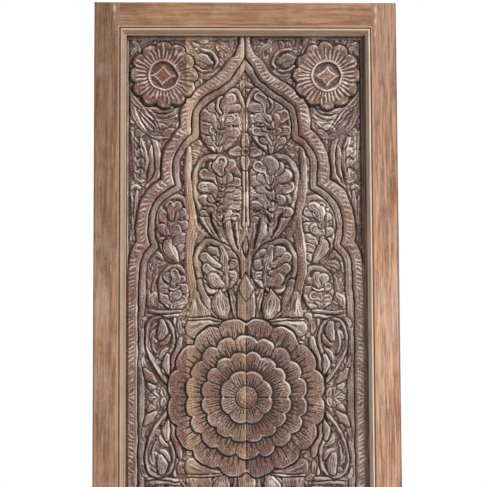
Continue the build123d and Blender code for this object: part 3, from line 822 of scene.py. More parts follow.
    def upper_loop(self) -> None:
        """Loop under the arch's point with its scrolled leaf."""
        c = self.canvas
        self.loop(((237, 88), (244, 98), (247, 112), (245, 126), (239, 138), (230, 149), (218, 154), (208, 148),
                  (202, 138), (198.5, 124), (200.5, 110), (210, 100), (224, 91)), 5.4, 6.8)
        c.frond(((220, 152), (219, 141), (220, 130), (223, 119), (225, 107)), ((0.15, (209.5, 142), 3.6),
                (0.2, (229, 142), 3.6), (0.4, (206, 131), 4.2), (0.4, (235.5, 133), 4), (0.5, (214.5, 131), 3.6),
                (0.5, (228, 128), 3.8), (0.65, (206.5, 117), 4.8), (0.6, (239, 121), 3.8), (0.75, (215.5, 120), 4),
                (0.7, (232, 119), 4.4), (0.85, (212.5, 108), 3.8), (0.9, (238.5, 108), 4), (1.05, (232, 98), 4.6)))
        c.stroke(((222.5, 114), (219, 109), (219.5, 102), (222, 98)), 1.5, 7.2, wash=1.3)
        c.incise(((219, 129.5), (222, 130.5), (225, 129)), 2.5, 0.9, wash=-1)
        c.incise(((228.5, 127), (231.5, 128), (234, 127)), 2.5, 0.9, wash=-1)
        c.boss((222, 120), (26, 36), 2.6)

    def middle_loop(self) -> None:
        """Largest loop, beside the stem, with long blades at its foot."""
        c = self.canvas
        self.loop(((210, 156), (200, 161), (195, 170), (192.5, 182), (193, 195), (196.5, 207), (200.5, 219),
                  (206, 230), (214, 239), (224, 246), (233, 255), (239, 267), (244, 277), (244.5, 262), (244, 246),
                  (244.5, 230), (245.5, 213), (246.5, 195), (243.5, 178), (236, 164), (224, 156)), 6, 7.2, 0.45)
        c.stroke(((212, 216), (218, 230), (228, 243), (238, 258)), (7, 7, 5, 3), 3.4, FLAT, crease=0, lines=0.9,
                 tint=0.2)
        c.stroke(((206, 210), (210, 223), (217, 234), (229, 246), (239, 262)), (2.6, 3, 3.4, 3.6, 2.4), 6.4, VEINED,
                 crease=0.4, wash=0.7, lines=0.9, tint=0.6)
        c.stroke(((217, 214), (219, 225), (225, 238), (234, 250), (241, 266)), (4.2, 4.6, 3.8, 3.2, 2), 6.8, SCOOP,
                 crease=0.5, wash=0.8, lines=1, tint=-0.6)
        c.stroke(((229, 214), (229, 226), (231.5, 239), (237, 252), (242, 266)), (3.6, 4, 3.4, 3, 2), 7, crease=0.5,
                 wash=0.6, lines=1, tint=0.9)
        c.stroke(((239, 218), (239.5, 232), (241, 246), (243.5, 264)), (2.6, 3.4, 3.4, 2.2), 6.6, SCOOP, crease=0.5,
                 wash=0.6, lines=0.9, tint=0.8)
        c.frond(((222, 226), (220.5, 212), (220.5, 198), (223, 184), (222, 170)), ((0.12, (204.5, 214), 3.6),
                (0.14, (237, 219), 3.6), (0.25, (211.5, 213), 3.4), (0.28, (229, 213), 3.6),
                (0.36, (203.5, 201), 4.6), (0.36, (238.5, 208), 3.8), (0.46, (212, 201), 4.2), (0.46, (230, 202), 4),
                (0.6, (203.5, 189), 5), (0.58, (238.5, 196), 4.2), (0.66, (213, 189), 4.6), (0.64, (231, 190), 4.2),
                (0.85, (206, 176.5), 5.6), (0.82, (237.5, 183), 4.6), (0.95, (214, 169), 5.2), (0.9, (229, 178), 4.8),
                (1, (232.5, 167), 4.8), (1.1, (222, 162), 4.6)), 7)
        c.ticks((236, 204), (240.5, 190), 5, (4.4, -2.2))
        c.ticks((235, 220), (240, 208), 4, (4.2, -2))
        c.ticks((215, 199), (222, 208), 4, (3.5, -2.5))
        c.incise(((210.5, 215), (212.5, 224), (217, 233), (221, 239)), 3.2, 1.3, wash=-1)
        c.incise(((211.5, 217), (214.5, 227), (219, 235)), 2.4, 1.5, wash=-1)
        c.incise(((224.5, 218), (223.8, 224), (225, 232)), 2.4, 0.9, wash=-1)
        c.incise(((232.5, 221), (233.5, 232), (236, 243), (238.5, 251)), 2.8, 1, wash=-1)
        c.incise(((215, 205), (219, 203), (221, 206)), 2.2, 0.9, wash=-1)
        c.incise(((222, 210), (225, 213), (229, 209)), 2, 0.8, wash=-0.9)
        c.boss((219, 192), (28, 42), 3)

    def side_loop(self) -> None:
        """Loop in the widest lobe, with its scrolled and drop leaves."""
        c = self.canvas
        self.loop(((186, 199), (174, 196.5), (163, 201), (156, 212), (154.5, 227), (156.5, 241), (162, 254),
                  (172, 264), (184, 262), (189, 248), (191.5, 231), (190.5, 212)), 5, 6.4)
        c.frond(((177, 263), (173, 252), (171, 240), (171, 228), (174, 216)), ((0.3, (162.5, 243), 3.4),
                (0.3, (183.5, 250), 3.4), (0.5, (186, 240), 3.6), (0.6, (162, 232), 4), (0.7, (185.5, 228), 4),
                (0.75, (177.5, 231), 4.6), (0.85, (165, 219), 4.6), (0.95, (184.5, 215), 4.4), (1, (170, 208.5), 4),
                (1.1, (178.5, 207), 3.8)), 6.6)
        c.stroke(((170, 241), (168.5, 248), (173, 256), (178, 263)), (3, 6.5, 5.8, 2), 7.2, wash=0.9, lines=0.8,
                 tint=0.3)
        c.incise(((163, 249), (165, 242), (172, 239.5)), 2.4, 0.8, wash=-1)
        c.incise(((170, 245), (173, 253), (177, 260)), 0.3, 0.7, wash=0.8)
        c.ticks((163, 211), (174, 206.5), 3, (1, 3.5))
        c.boss((173, 229), (20, 36), 2.4)

    def lower_foliage(self) -> None:
        """Vine, loops, pods and panel below the widest lobe, down to the medallion."""
        c = self.canvas
        self.leaves((
            (((183, 266), (190, 262), (196, 256)), 2.8, 5.6, SCOOP, 1),
            (((150, 263), (156, 256), (164, 262)), 3.2, 5.4, VEINED, 1),
            (((152, 272), (157, 266), (166, 265)), 2.8, 5.8, SCOOP, 1),
            (((156, 304), (155.5, 290), (158, 276)), 3.2, 5.8, SCOOP, 1),
        ))
        c.curl((155.18, 296.894), (150.5, 305), 3.6, 1.8, 6, 0.6)
        self.loop(((176, 267), (186, 271), (190, 283), (189, 298), (183, 310), (172, 312), (162, 305), (158.5, 293),
                  (160, 279), (166, 270)), 4.8, 6.6)
        c.frond(((173, 311), (172.5, 301), (172, 291), (174, 283)), ((0.3, (164.5, 301), 3.4), (0.3, (183, 302), 3.4),
                (0.6, (163.5, 290), 3.8), (0.55, (185, 291), 3.6), (0.9, (168, 280), 4), (0.9, (182.5, 281), 3.8),
                (1.1, (175.5, 275.5), 3.4), (0.5, (178.5, 297), 4)), 6.6)
        c.stroke(((169.5, 291.5), (174, 292), (179, 290)), 1.2, 7, wash=1.4)
        c.boss((174, 289), (17, 25), 2)
        self.lower_loop()
        c.stroke(((189.5, 150), (188.5, 163), (188, 180), (189.5, 198), (193, 214), (195, 228), (192, 243),
                 (189.5, 258), (190.5, 275), (193.5, 292), (196.5, 305)), (2.4, 3.8, 4.2, 3.6, 5.6, 4.2, 4.4, 3.8),
                 6.4, crease=0.5, wash=0.5, lines=0.6, tint=0.4)
        c.stroke(((197, 224), (199, 231), (202.5, 238), (199.5, 244)), (1.2, 2.8, 3.8, 2), 5.2, crease=0.2, wash=0.3,
                 lines=0.5, tint=-0.2)
        c.stroke(((196, 296), (197, 305), (198.5, 312), (200, 317)), (3.6, 4.6, 8, 11.5), 7, crease=0.4, wash=0.3,
                 lines=0.6, tint=0.5)
        for bend in (-0.9, -0.3, 0.4, 1):
            c.incise(((195.5 + bend, 300), (197.5 + 3.2 * bend, 309), (199 + 8 * bend, 318)), 0.7, 0.7,
                     wash=-0.7 if bend > 0 else 0.8)
        c.stroke(((225, 324.5), (214, 324), (203, 326.5), (194.5, 330)), (1.2, 3, 6.2, 9.2), 7.4, wash=0.5, lines=0.5,
                 tint=0.3)
        for bend in (-1, 0, 1):
            c.incise(((214, 324), (203, 325.5 + 1.6 * bend), (191, 329.5 + 4.2 * bend)), 0.9, 0.6,
                     wash=0.7 if bend else -0.8)
        c.stroke(((189, 320.6), (198, 320.4), (210, 321.2), (222, 322.5)), 0.9, 6.4, wash=1.2)
        c.stroke(((180.5, 323), (179.5, 330), (181, 336)), 2.4, 5.6, SCOOP, taper=1, wash=0.9)
        c.stroke(((175, 322), (174.5, 330), (177, 338)), 1.5, 5.6, wash=0.9)
        c.stroke(((151, 313.5), (164, 314.5), (180, 313)), 1.5, 6.2, wash=0.3)
        c.stroke(((146, 318.5), (160, 319), (178, 317.5)), 1.5, 6.8, wash=1)
        self.stem()

    def lower_loop(self) -> None:
        """Loop above the medallion with three curled tips, the pod below it and the leaves beside it."""
        c = self.canvas
        self.loop(((208, 241), (200, 247), (195, 257), (194.5, 268), (197, 280), (203, 290), (214, 296), (227, 293),
                  (236, 286), (241, 274), (238, 260), (230, 249), (220, 243.5)), 6, 7.2, 0.2)
        c.frond(((225, 288), (223, 276), (221, 264), (219, 253)), ((0.3, (233.5, 278), 4.2), (0.6, (234, 267), 4.4),
                (0.9, (229, 256), 4), (0.75, (213, 262), 3.8), (1, (211.5, 252.5), 3.8)), 6.6)
        c.stroke(((226, 287), (225, 273), (224, 260), (221.5, 250)), (3.4, 4.4, 4.8, 3.2), 6.8, VEINED, crease=0.5,
                 wash=0.6, lines=0.9, tint=0.5)
        c.incise(((231, 262), (228.3, 268), (228.6, 276), (232, 281), (237, 285)), 2.4, 0.8, wash=-1)
        c.incise(((219.3, 250), (219.3, 260), (219.8, 270)), 2.4, 0.8, wash=-1)
        c.curl((219, 268), (205, 259.5), 5, -2, 7, 0.8)
        c.curl((221, 276), (206.5, 270), 4.8, -2, 6.8, 0.5)
        c.curl((223, 287), (213.5, 280), 6, -1, 7.4, 0.3)
        c.ticks((231, 270), (236, 282), 4, (4, 2.5))
        c.boss((217, 268), (24, 28), 2.4)
        c.stroke(((200, 284), (204, 297), (211, 310), (218, 319)), (3.5, 4, 4, 2), 6.2, wash=0.5)
        c.stroke(((221, 293), (221, 305), (224, 319)), (1.5, 8.6, 9.4, 4.5), 7.8, wash=0.5, lines=0.9, tint=0.7)
        c.ticks((216, 290.5), (225, 291.5), 4, (-2.5, 3.5), 1)
        for bend in (-4, 0, 4):
            c.incise(((220 + bend * 0.4, 298), (221 + bend, 306), (223 + bend * 0.4, 316)), 0.5, wash=0.9)
        c.stroke(((231, 293), (234.5, 305), (237, 318)), (1.6, 3.4, 2.4), 6.4, SCOOP, wash=1.1, tint=-0.6)
        c.incise(((228, 292), (230.5, 302), (231.5, 310), (235.5, 318)), 2.2, 0.8, wash=-1)

    def stem(self) -> None:
        """Slender stem on the door's middle line, with the four-petalled flower above it."""
        c = self.canvas
        c.acanthus(((246, 136), (245, 122), (245.5, 110)), 5.5, 3, 5.4)
        c.stroke(((245.2, 166), (244.8, 180), (245.2, 205), (244, 228)), 1.4, 7.2, wash=0.9)
        c.incise(((247.8, 164), (247.8, 222)), 2.4, 0.9, wash=-0.9)
        c.stroke(((247.5, 226), (247, 244), (247, 262), (246.8, 280)), (2.4, 4.4, 6, 4), 6.8, FLAT, crease=0.15,
                 wash=0.3, lines=0.9, tint=0.5)
        c.stroke(((246.8, 240), (246, 249), (247, 259)), (0.8, 2.6, 0.6), 7.8, crease=0.7, wash=0.8, tint=-0.5)
        c.incise(((243.4, 243), (243.6, 251), (246.6, 259)), 1.8, 0.7, wash=-0.9)
        c.stroke(((247, 276), (247, 288), (247, 304), (247, 320)), (0.8, 8.2, 10, 8.6), 8.2, wash=1, lines=0.7,
                 tint=0.2)
        c.incise(((247, 277), (241.5, 281), (238.5, 288)), 0.2, 0.8, wash=1)
        c.incise(((246, 304), (241.5, 297), (239.5, 292)), 1.6, 0.7, wash=-0.9)
        c.stroke(((246.6, 150), (246.6, 143), (246.5, 137)), (3, 4.8, 3), 7.2, SCOOP, wash=0.8)
        c.stroke(((246.6, 156), (246.6, 163), (246.5, 169)), (3, 4.8, 3), 7.2, SCOOP, wash=0.7)
        c.stroke(((243.5, 153), (238, 153), (233, 153.5)), (3, 5.4, 3.4), 7.4, SCOOP, wash=1)
        c.stroke(((246.4, 153), (246.6, 153)), 3.9, 7, wash=0.6)
        c.stroke(((246.4, 153), (246.6, 153)), 2.5, -0.5, crease=0, lines=0)

    def beside_medallion(self) -> None:
        """Teardrop of leaves, drop leaf, small leaf and tuft beside the medallion."""
        c = self.canvas
        self.leaves((
            (((142.5, 330), (145, 322), (151, 319.5)), 2, 5.2, SCOOP, 1),
            (((143, 356), (145, 366), (151, 378), (160, 388)), 2.2, 5.4, SCOOP, 1),
        ))
        c.stroke(((181, 340), (178.5, 350), (176, 361), (171, 372)), (2, 4.6, 4.6, 1.5), 6.8, wash=0.6, tint=1)
        self.loop(((160, 319), (151, 322), (146.5, 332), (146, 346), (150, 360), (158, 374), (169, 387), (165.5, 372),
                  (171, 357), (175.5, 343), (172, 326)), 3.6, 6.8, -0.2)
        self.leaves((
            (((157, 356), (152, 348), (152.5, 337), (156, 330)), 2.8, 6, SCOOP, 1),
            (((160, 361), (163, 354), (170, 349)), 2.2, 6.2, VEINED, 1),
        ))
        c.stroke(((162, 325), (163, 332), (161, 340)), (3.4, 5.6, 3.4), 7.4, wash=0.9, lines=1, tint=-0.6)
        c.stroke(((161, 346), (166, 344), (170, 337)), (1.5, 2.6, 1.4), 6.6, tint=1.2, wash=0.2)
        c.incise(((150.5, 341), (152, 350), (156.5, 356)), 2.2, 0.8, wash=-1)
        c.stroke(((168, 357), (167, 366), (170, 378)), (2, 5.6, 4.6), 7.4, taper=0.5, wash=1, lines=1, tint=-0.3)
        c.incise(((162, 362), (161.3, 368), (164, 375), (169.5, 379)), 2.4, 0.8, wash=-1)
        c.stroke(((146, 371), (150, 377), (156, 383)), (2, 4.6, 2), 6.4, wash=0.4, tint=1.2)
        c.stroke(((150, 386), (155, 391), (160, 398)), (2, 4.4, 3.4), 6.4, wash=0.5, tint=0.9)
        for reach, turn in ((17, 183), (14, 205), (12, 232), (10, 255)):
            angle = math.radians(turn)
            tip = (165 + reach * math.cos(angle), MID_ROW + reach * math.sin(angle))
            c.stroke(((165.5, MID_ROW), ((165 + tip[0]) / 2, (MID_ROW + tip[1]) / 2 - 1), tip), 3, 6.2, SCOOP,
                     taper=1, wash=0.9, lines=1)
        c.boss((160, 342), (15, 26), 1.8)


# Painted highlight and shade lines across the moulding, standing in for how its beads and quirks take the light, from
# its inner edge out: share of the way and colour.
PAINTED_LIT_MOULDING_BANDS = (
    (0.0, (0.60, 0.46, 0.35)), (0.065, (0.60, 0.46, 0.35)), (0.095, (0.22, 0.16, 0.12)), (0.27, (0.32, 0.22, 0.155)),
    (0.32, (0.62, 0.46, 0.34)), (0.40, (0.50, 0.34, 0.23)), (0.436, (0.06, 0.035, 0.025)), (0.48, (0.56, 0.42, 0.31)),
    (0.576, (0.70, 0.54, 0.41)), (0.69, (0.46, 0.31, 0.21)), (0.74, (0.05, 0.03, 0.02)), (0.80, (0.10, 0.06, 0.04)),
    (0.86, (0.52, 0.34, 0.24)), (0.94, (0.44, 0.26, 0.16)))
# The same painted lines for the right jamb, whose inner edge is painted near-black as the shadow in its reveal.
PAINTED_SHADOW_MOULDING_BANDS = (
    (0.0, (0.015, 0.012, 0.010)), (0.12, (0.02, 0.015, 0.012)), (0.17, (0.30, 0.26, 0.20)),
    (0.38, (0.52, 0.46, 0.36)), (0.44, (0.16, 0.12, 0.09)), (0.50, (0.62, 0.52, 0.40)), (0.60, (0.80, 0.66, 0.52)),
    (0.66, (0.22, 0.12, 0.07)), (0.72, (0.42, 0.24, 0.14)), (0.78, (0.06, 0.03, 0.02)), (0.84, (0.46, 0.26, 0.16)),
    (0.94, (0.50, 0.28, 0.17)))

# Colours that every piece of wood shares.
# Near-black for dark pits, and for painted shade in cuts, grooves and recesses.
PIT_DARK_AND_PAINTED_SHADE: Colour = (0.020, 0.012, 0.010, 1.0)
OPEN_PORE: Colour = (0.05, 0.03, 0.022, 1.0)
# Pale limewash, also laid as painted highlight.
THICK_LIMEWASH_AND_HIGHLIGHT: Colour = (0.74, 0.635, 0.56, 1.0)
SAPWOOD: Colour = (0.50, 0.29, 0.155, 1.0)
BARE_CHIP: Colour = (0.52, 0.40, 0.31, 1.0)
# Near-black brown for the painted shade along the frame's outer edges.
PAINTED_EDGE_SHADE: Colour = (0.09, 0.055, 0.05, 1.0)
SMOKE: Colour = (0.60, 0.585, 0.57, 1.0)
WHITE: Colour = (1.0, 1.0, 1.0, 1.0)


@dataclass(frozen=True)
class WoodFinish:
    """Colours and surface of one piece of wood.

    The grain gives how fine the figure runs across and along. The sap holds the edge and the soft inner end
    of each pale band, and the chips the place across, the height and the radius of each torn spot.
    """

    name: str
    dark: Colour
    light: Colour
    # Pale colour of limewash, scratches and worn patches, also laid as painted highlight on carved ridges and
    # tool-line crests.
    wash: Colour = (0.60, 0.485, 0.42, 1.0)
    grain: Point = (1.0, 0.05)
    horizontal: bool = False
    rough: float = 0.62
    wear: float = 0.25
    figure: float = 0.5
    carved: bool = False
    moulded: bool = False
    fade: float = 0.0
    warm: Colour = (0.25, 0.088, 0.048, 1.0)
    cool: Colour = (0.17, 0.125, 0.125, 1.0)
    sap: tuple[Point, ...] = ()
    # Painted highlight and shade bands across the moulding.
    bands: tuple[tuple[float, Tone], ...] = PAINTED_LIT_MOULDING_BANDS
    seed: float = 0.0
    chips: tuple[Place, ...] = ()


@dataclass(frozen=True)
class Amount:
    """Number that changes over a surface, written in sums and products like a plain one."""

    nodes: "Nodes"
    socket: bpy.types.NodeSocket

    def __add__(self, other: "Amount | float") -> "Amount":
        """Sum."""
        return self.nodes.math("ADD", self, other)

    def __radd__(self, other: float) -> "Amount":
        """Sum that starts with a plain number."""
        return self.nodes.math("ADD", other, self)

    def __sub__(self, other: "Amount | float") -> "Amount":
        """Difference."""
        return self.nodes.math("SUBTRACT", self, other)

    def __rsub__(self, other: float) -> "Amount":
        """Difference that starts with a plain number."""
        return self.nodes.math("SUBTRACT", other, self)

    def __mul__(self, other: "Amount | float") -> "Amount":
        """Product."""
        return self.nodes.math("MULTIPLY", self, other)

    def __neg__(self) -> "Amount":
        """Opposite."""
        return self * -1.0

    def __abs__(self) -> "Amount":
        """Size without its sign."""
        return self.nodes.math("ABSOLUTE", self, 0.0)

    def held(self) -> "Amount":
        """Keeps the last step's result between 0 and 1."""
        self.socket.node.use_clamp = True
        return self

    def ramp(self, low: float, high: float) -> "Amount":
        """Smooth step over the amount.

        Args:
            low: Where the step begins.
            high: Where it ends.

        Returns:
            0 at low and 1 at high.
        """
        node = self.nodes.add("ShaderNodeMapRange", interpolation_type="SMOOTHSTEP")
        self.nodes.feed(node.inputs[0], self)
        node.inputs[1].default_value = low
        node.inputs[2].default_value = high
        return Amount(self.nodes, node.outputs[0])


class Nodes:
    """Small helper that places and links shader nodes in one tree."""

    def __init__(self, tree: bpy.types.NodeTree) -> None:
        """Keeps the tree to work in."""
        self.tree = tree

    def add(self, kind: str, **values: object) -> bpy.types.Node:
        """Places a node and sets it up.

        Args:
            kind: The node's type.
            values: Its properties, or its inputs by name with lines for spaces.

        Returns:
            The node.
        """
        node = self.tree.nodes.new(kind)
        for key, value in values.items():
            if hasattr(node, key):
                setattr(node, key, value)
            else:
                self.feed(node.inputs[key.replace("_", " ")], value)
        return node

    def feed(self, slot: bpy.types.NodeSocket, value: object) -> None:
        """Gives an input an amount, another node's output or a plain value.

        Args:
            slot: The input.
            value: What it gets.
        """
        if isinstance(value, Amount):
            value = value.socket
        if isinstance(value, bpy.types.NodeSocket):
            self.tree.links.new(value, slot)
        else:
            slot.default_value = value

    def amount(self, node: bpy.types.Node, name: str | int = 0) -> Amount:
        """One output of a node as an amount."""
        return Amount(self, node.outputs[name])

    def group(self, tree: bpy.types.NodeTree, **values: object) -> bpy.types.Node:
        """Places a shared group and feeds its inputs.

        Args:
            tree: The group.
            values: Its inputs by name.

        Returns:
            The group's node.
        """
        node = self.add("ShaderNodeGroup")
        node.node_tree = tree
        for name, value in values.items():
            self.feed(node.inputs[name], value)
        return node

    def math(self, operation: str, first: object, second: object) -> Amount:
        """Math node fed by amounts or plain numbers.

        Args:
            operation: Name of the operation.
            first: Amount or number.
            second: Amount or number.

        Returns:
            The result.
        """
        node = self.add("ShaderNodeMath", operation=operation)
        self.feed(node.inputs[0], first)
        self.feed(node.inputs[1], second)
        return Amount(self, node.outputs[0])

    def mix(self, share: object, first: object, second: object, blend: str = "MIX") -> bpy.types.NodeSocket:
        """Mixes two colours.

        Args:
            share: How much of the second, as an amount or a number.
            first: Colour or socket.
            second: Colour or socket.
            blend: How the second goes over the first.

        Returns:
            The colour's output socket.
        """
        node = self.add("ShaderNodeMix", data_type="RGBA", blend_type=blend)
        for slot, value in ((0, share), (6, first), (7, second)):
            self.feed(node.inputs[slot], value)
        return node.outputs[2]

    def axes(self, coords: bpy.types.NodeSocket) -> tuple[Amount, Amount, Amount]:
        """The three parts of a place."""
        parts = self.add("ShaderNodeSeparateXYZ", Vector=coords)
        return Amount(self, parts.outputs[0]), Amount(self, parts.outputs[1]), Amount(self, parts.outputs[2])

    def mixed(self, share: Amount, first: bpy.types.Node, second: bpy.types.Node) -> bpy.types.Node:
        """Mixes two shaders.

        Args:
            share: How much of the second.
            first: Shader.
            second: Shader.

        Returns:
            The mixing node.
        """
        node = self.add("ShaderNodeMixShader")
        self.feed(node.inputs[0], share)
        self.feed(node.inputs[1], first.outputs[0])
        self.feed(node.inputs[2], second.outputs[0])
        return node

    def finish(self, shader: bpy.types.Node, kind: str = "ShaderNodeOutputMaterial") -> None:
        """Sends a shader to the tree's output."""
        self.feed(self.add(kind).inputs["Surface"], shader.outputs[0])


def new_material(name: str) -> tuple[bpy.types.Material, Nodes]:
    """Starts an empty material.

    Args:
        name: Its name.

    Returns:
        The material and the helper for its tree.
    """
    material = bpy.data.materials.new(name)
    material.use_nodes = True
    material.node_tree.nodes.clear()
    return material, Nodes(material.node_tree)


def new_group(name: str, inputs: dict[str, str],
              outputs: Sequence[str]) -> tuple[Nodes, bpy.types.Node, bpy.types.Node]:
    """Starts a shared group.

    Args:
        name: Its name.
        inputs: Kind of each input by name.
        outputs: Names of its outputs, which are all plain amounts.

    Returns:
        The helper for its tree, its input node and its output node.
    """
    group = bpy.data.node_groups.new(name, "ShaderNodeTree")
    for label, kind in inputs.items():
        group.interface.new_socket(label, in_out="INPUT", socket_type="NodeSocket" + kind)
    for label in outputs:
        group.interface.new_socket(label, in_out="OUTPUT", socket_type="NodeSocketFloat")
    nodes = Nodes(group)
    return nodes, nodes.add("NodeGroupInput"), nodes.add("NodeGroupOutput")


def make_grain_group() -> bpy.types.NodeTree:
    """Group that gives wood grain: streaks, fine lines, pores, blotches and a bump height.

    Returns:
        The node group, with a Vector input.
    """
    names = ("Streaks", "Fine", "Pores", "Blotches", "Scratches", "Height")
    nodes, start, end = new_group("wood_grain", {"Vector": "Vector"}, names)

    def noise(scale: float, detail: float, rough: float, twist: float = 0.0) -> Amount:
        """One noise over the group's vector.

        Args:
            scale: Its fineness.
            detail: Finer noises added.
            rough: Their strength.
            twist: How much it is distorted.

        Returns:
            The noise, from 0 to 1.
        """
        node = nodes.add("ShaderNodeTexNoise", Scale=scale, Detail=detail, Roughness=rough, Distortion=twist,
                         Vector=start.outputs["Vector"])
        return nodes.amount(node, "Fac")

    fine = noise(190.0, 3.0, 0.65, 0.2)
    pores = noise(520.0, 2.0, 0.7)
    given = {
        "Streaks": noise(48.0, 5.0, 0.62, 0.4),
        "Fine": fine,
        "Pores": pores.ramp(0.58, 0.70),
        "Blotches": noise(9.0, 4.0, 0.6, 0.8),
        "Scratches": noise(330.0, 1.0, 0.5).ramp(0.60, 0.68) * noise(30.0, 2.0, 0.6).ramp(0.48, 0.58),
        "Height": fine * 0.7 + pores * 0.4,
    }
    for name in names:
        nodes.feed(end.inputs[name], given[name])
    return nodes.tree


def make_limewash_group() -> bpy.types.NodeTree:
    """Group that gives the uneven surface of old limewashed wood: patches, specks, pits and tints.

    Returns:
        The node group, with a Vector input.
    """
    # Name, scale and detail of each mask's noise, and where the mask begins and is full.
    masks = (("Patches", 15.0, 5.0, 0.42, 0.70), ("Specks", 230.0, 3.0, 0.50, 0.62), ("Pits", 290.0, 2.0, 0.54, 0.66),
             ("Warm", 21.0, 4.0, 0.44, 0.62), ("Cool", 27.0, 3.0, 0.46, 0.64))
    nodes, start, end = new_group("limewash", {"Vector": "Vector"}, [mask[0] for mask in masks])
    for k, (name, scale, detail, low, high) in enumerate(masks):
        shift = nodes.add("ShaderNodeVectorMath", operation="ADD")
        nodes.feed(shift.inputs[0], start.outputs["Vector"])
        nodes.feed(shift.inputs[1], (3.1 * k, 1.7 * k, 2.3 * k))
        noise = nodes.add("ShaderNodeTexNoise", Scale=scale, Detail=detail, Roughness=0.66, Vector=shift.outputs[0])
        nodes.feed(end.inputs[name], nodes.amount(noise, "Fac").ramp(low, high))
    return nodes.tree


def make_tool_line_group() -> bpy.types.NodeTree:
    """Group that draws the gouge's fine lines along each carved form: masks for painted highlight on their crests and
    painted shade in their grooves, and a bump height.

    Returns:
        The node group, with Flow, Strength and Wobble inputs.
    """
    inputs = {"Flow": "Float", "Strength": "Float", "Wobble": "Float"}
    nodes, start, end = new_group("tool_lines", inputs, ("Crest", "Groove", "Height"))
    flow, strength, wobble = (nodes.amount(start, name) for name in inputs)
    line_squares = 2.3
    wave = nodes.math("COSINE", flow * (2 * math.pi / line_squares) + wobble * 5.0, 0.0)
    nodes.feed(end.inputs["Crest"], wave.ramp(0.25, 0.95) * strength)
    nodes.feed(end.inputs["Groove"], (-wave).ramp(0.3, 1.0) * strength)
    nodes.feed(end.inputs["Height"], wave * strength)
    return nodes.tree


@dataclass
class WoodShop:
    """Shared node groups, from which every wood material is made."""

    grain: bpy.types.NodeTree = field(default_factory=make_grain_group)
    limewash: bpy.types.NodeTree = field(default_factory=make_limewash_group)
    tool_lines: bpy.types.NodeTree = field(default_factory=make_tool_line_group)

    def material(self, finish: WoodFinish) -> bpy.types.Material:
        """Material for one finish."""
        return WoodTree(self, finish).build()


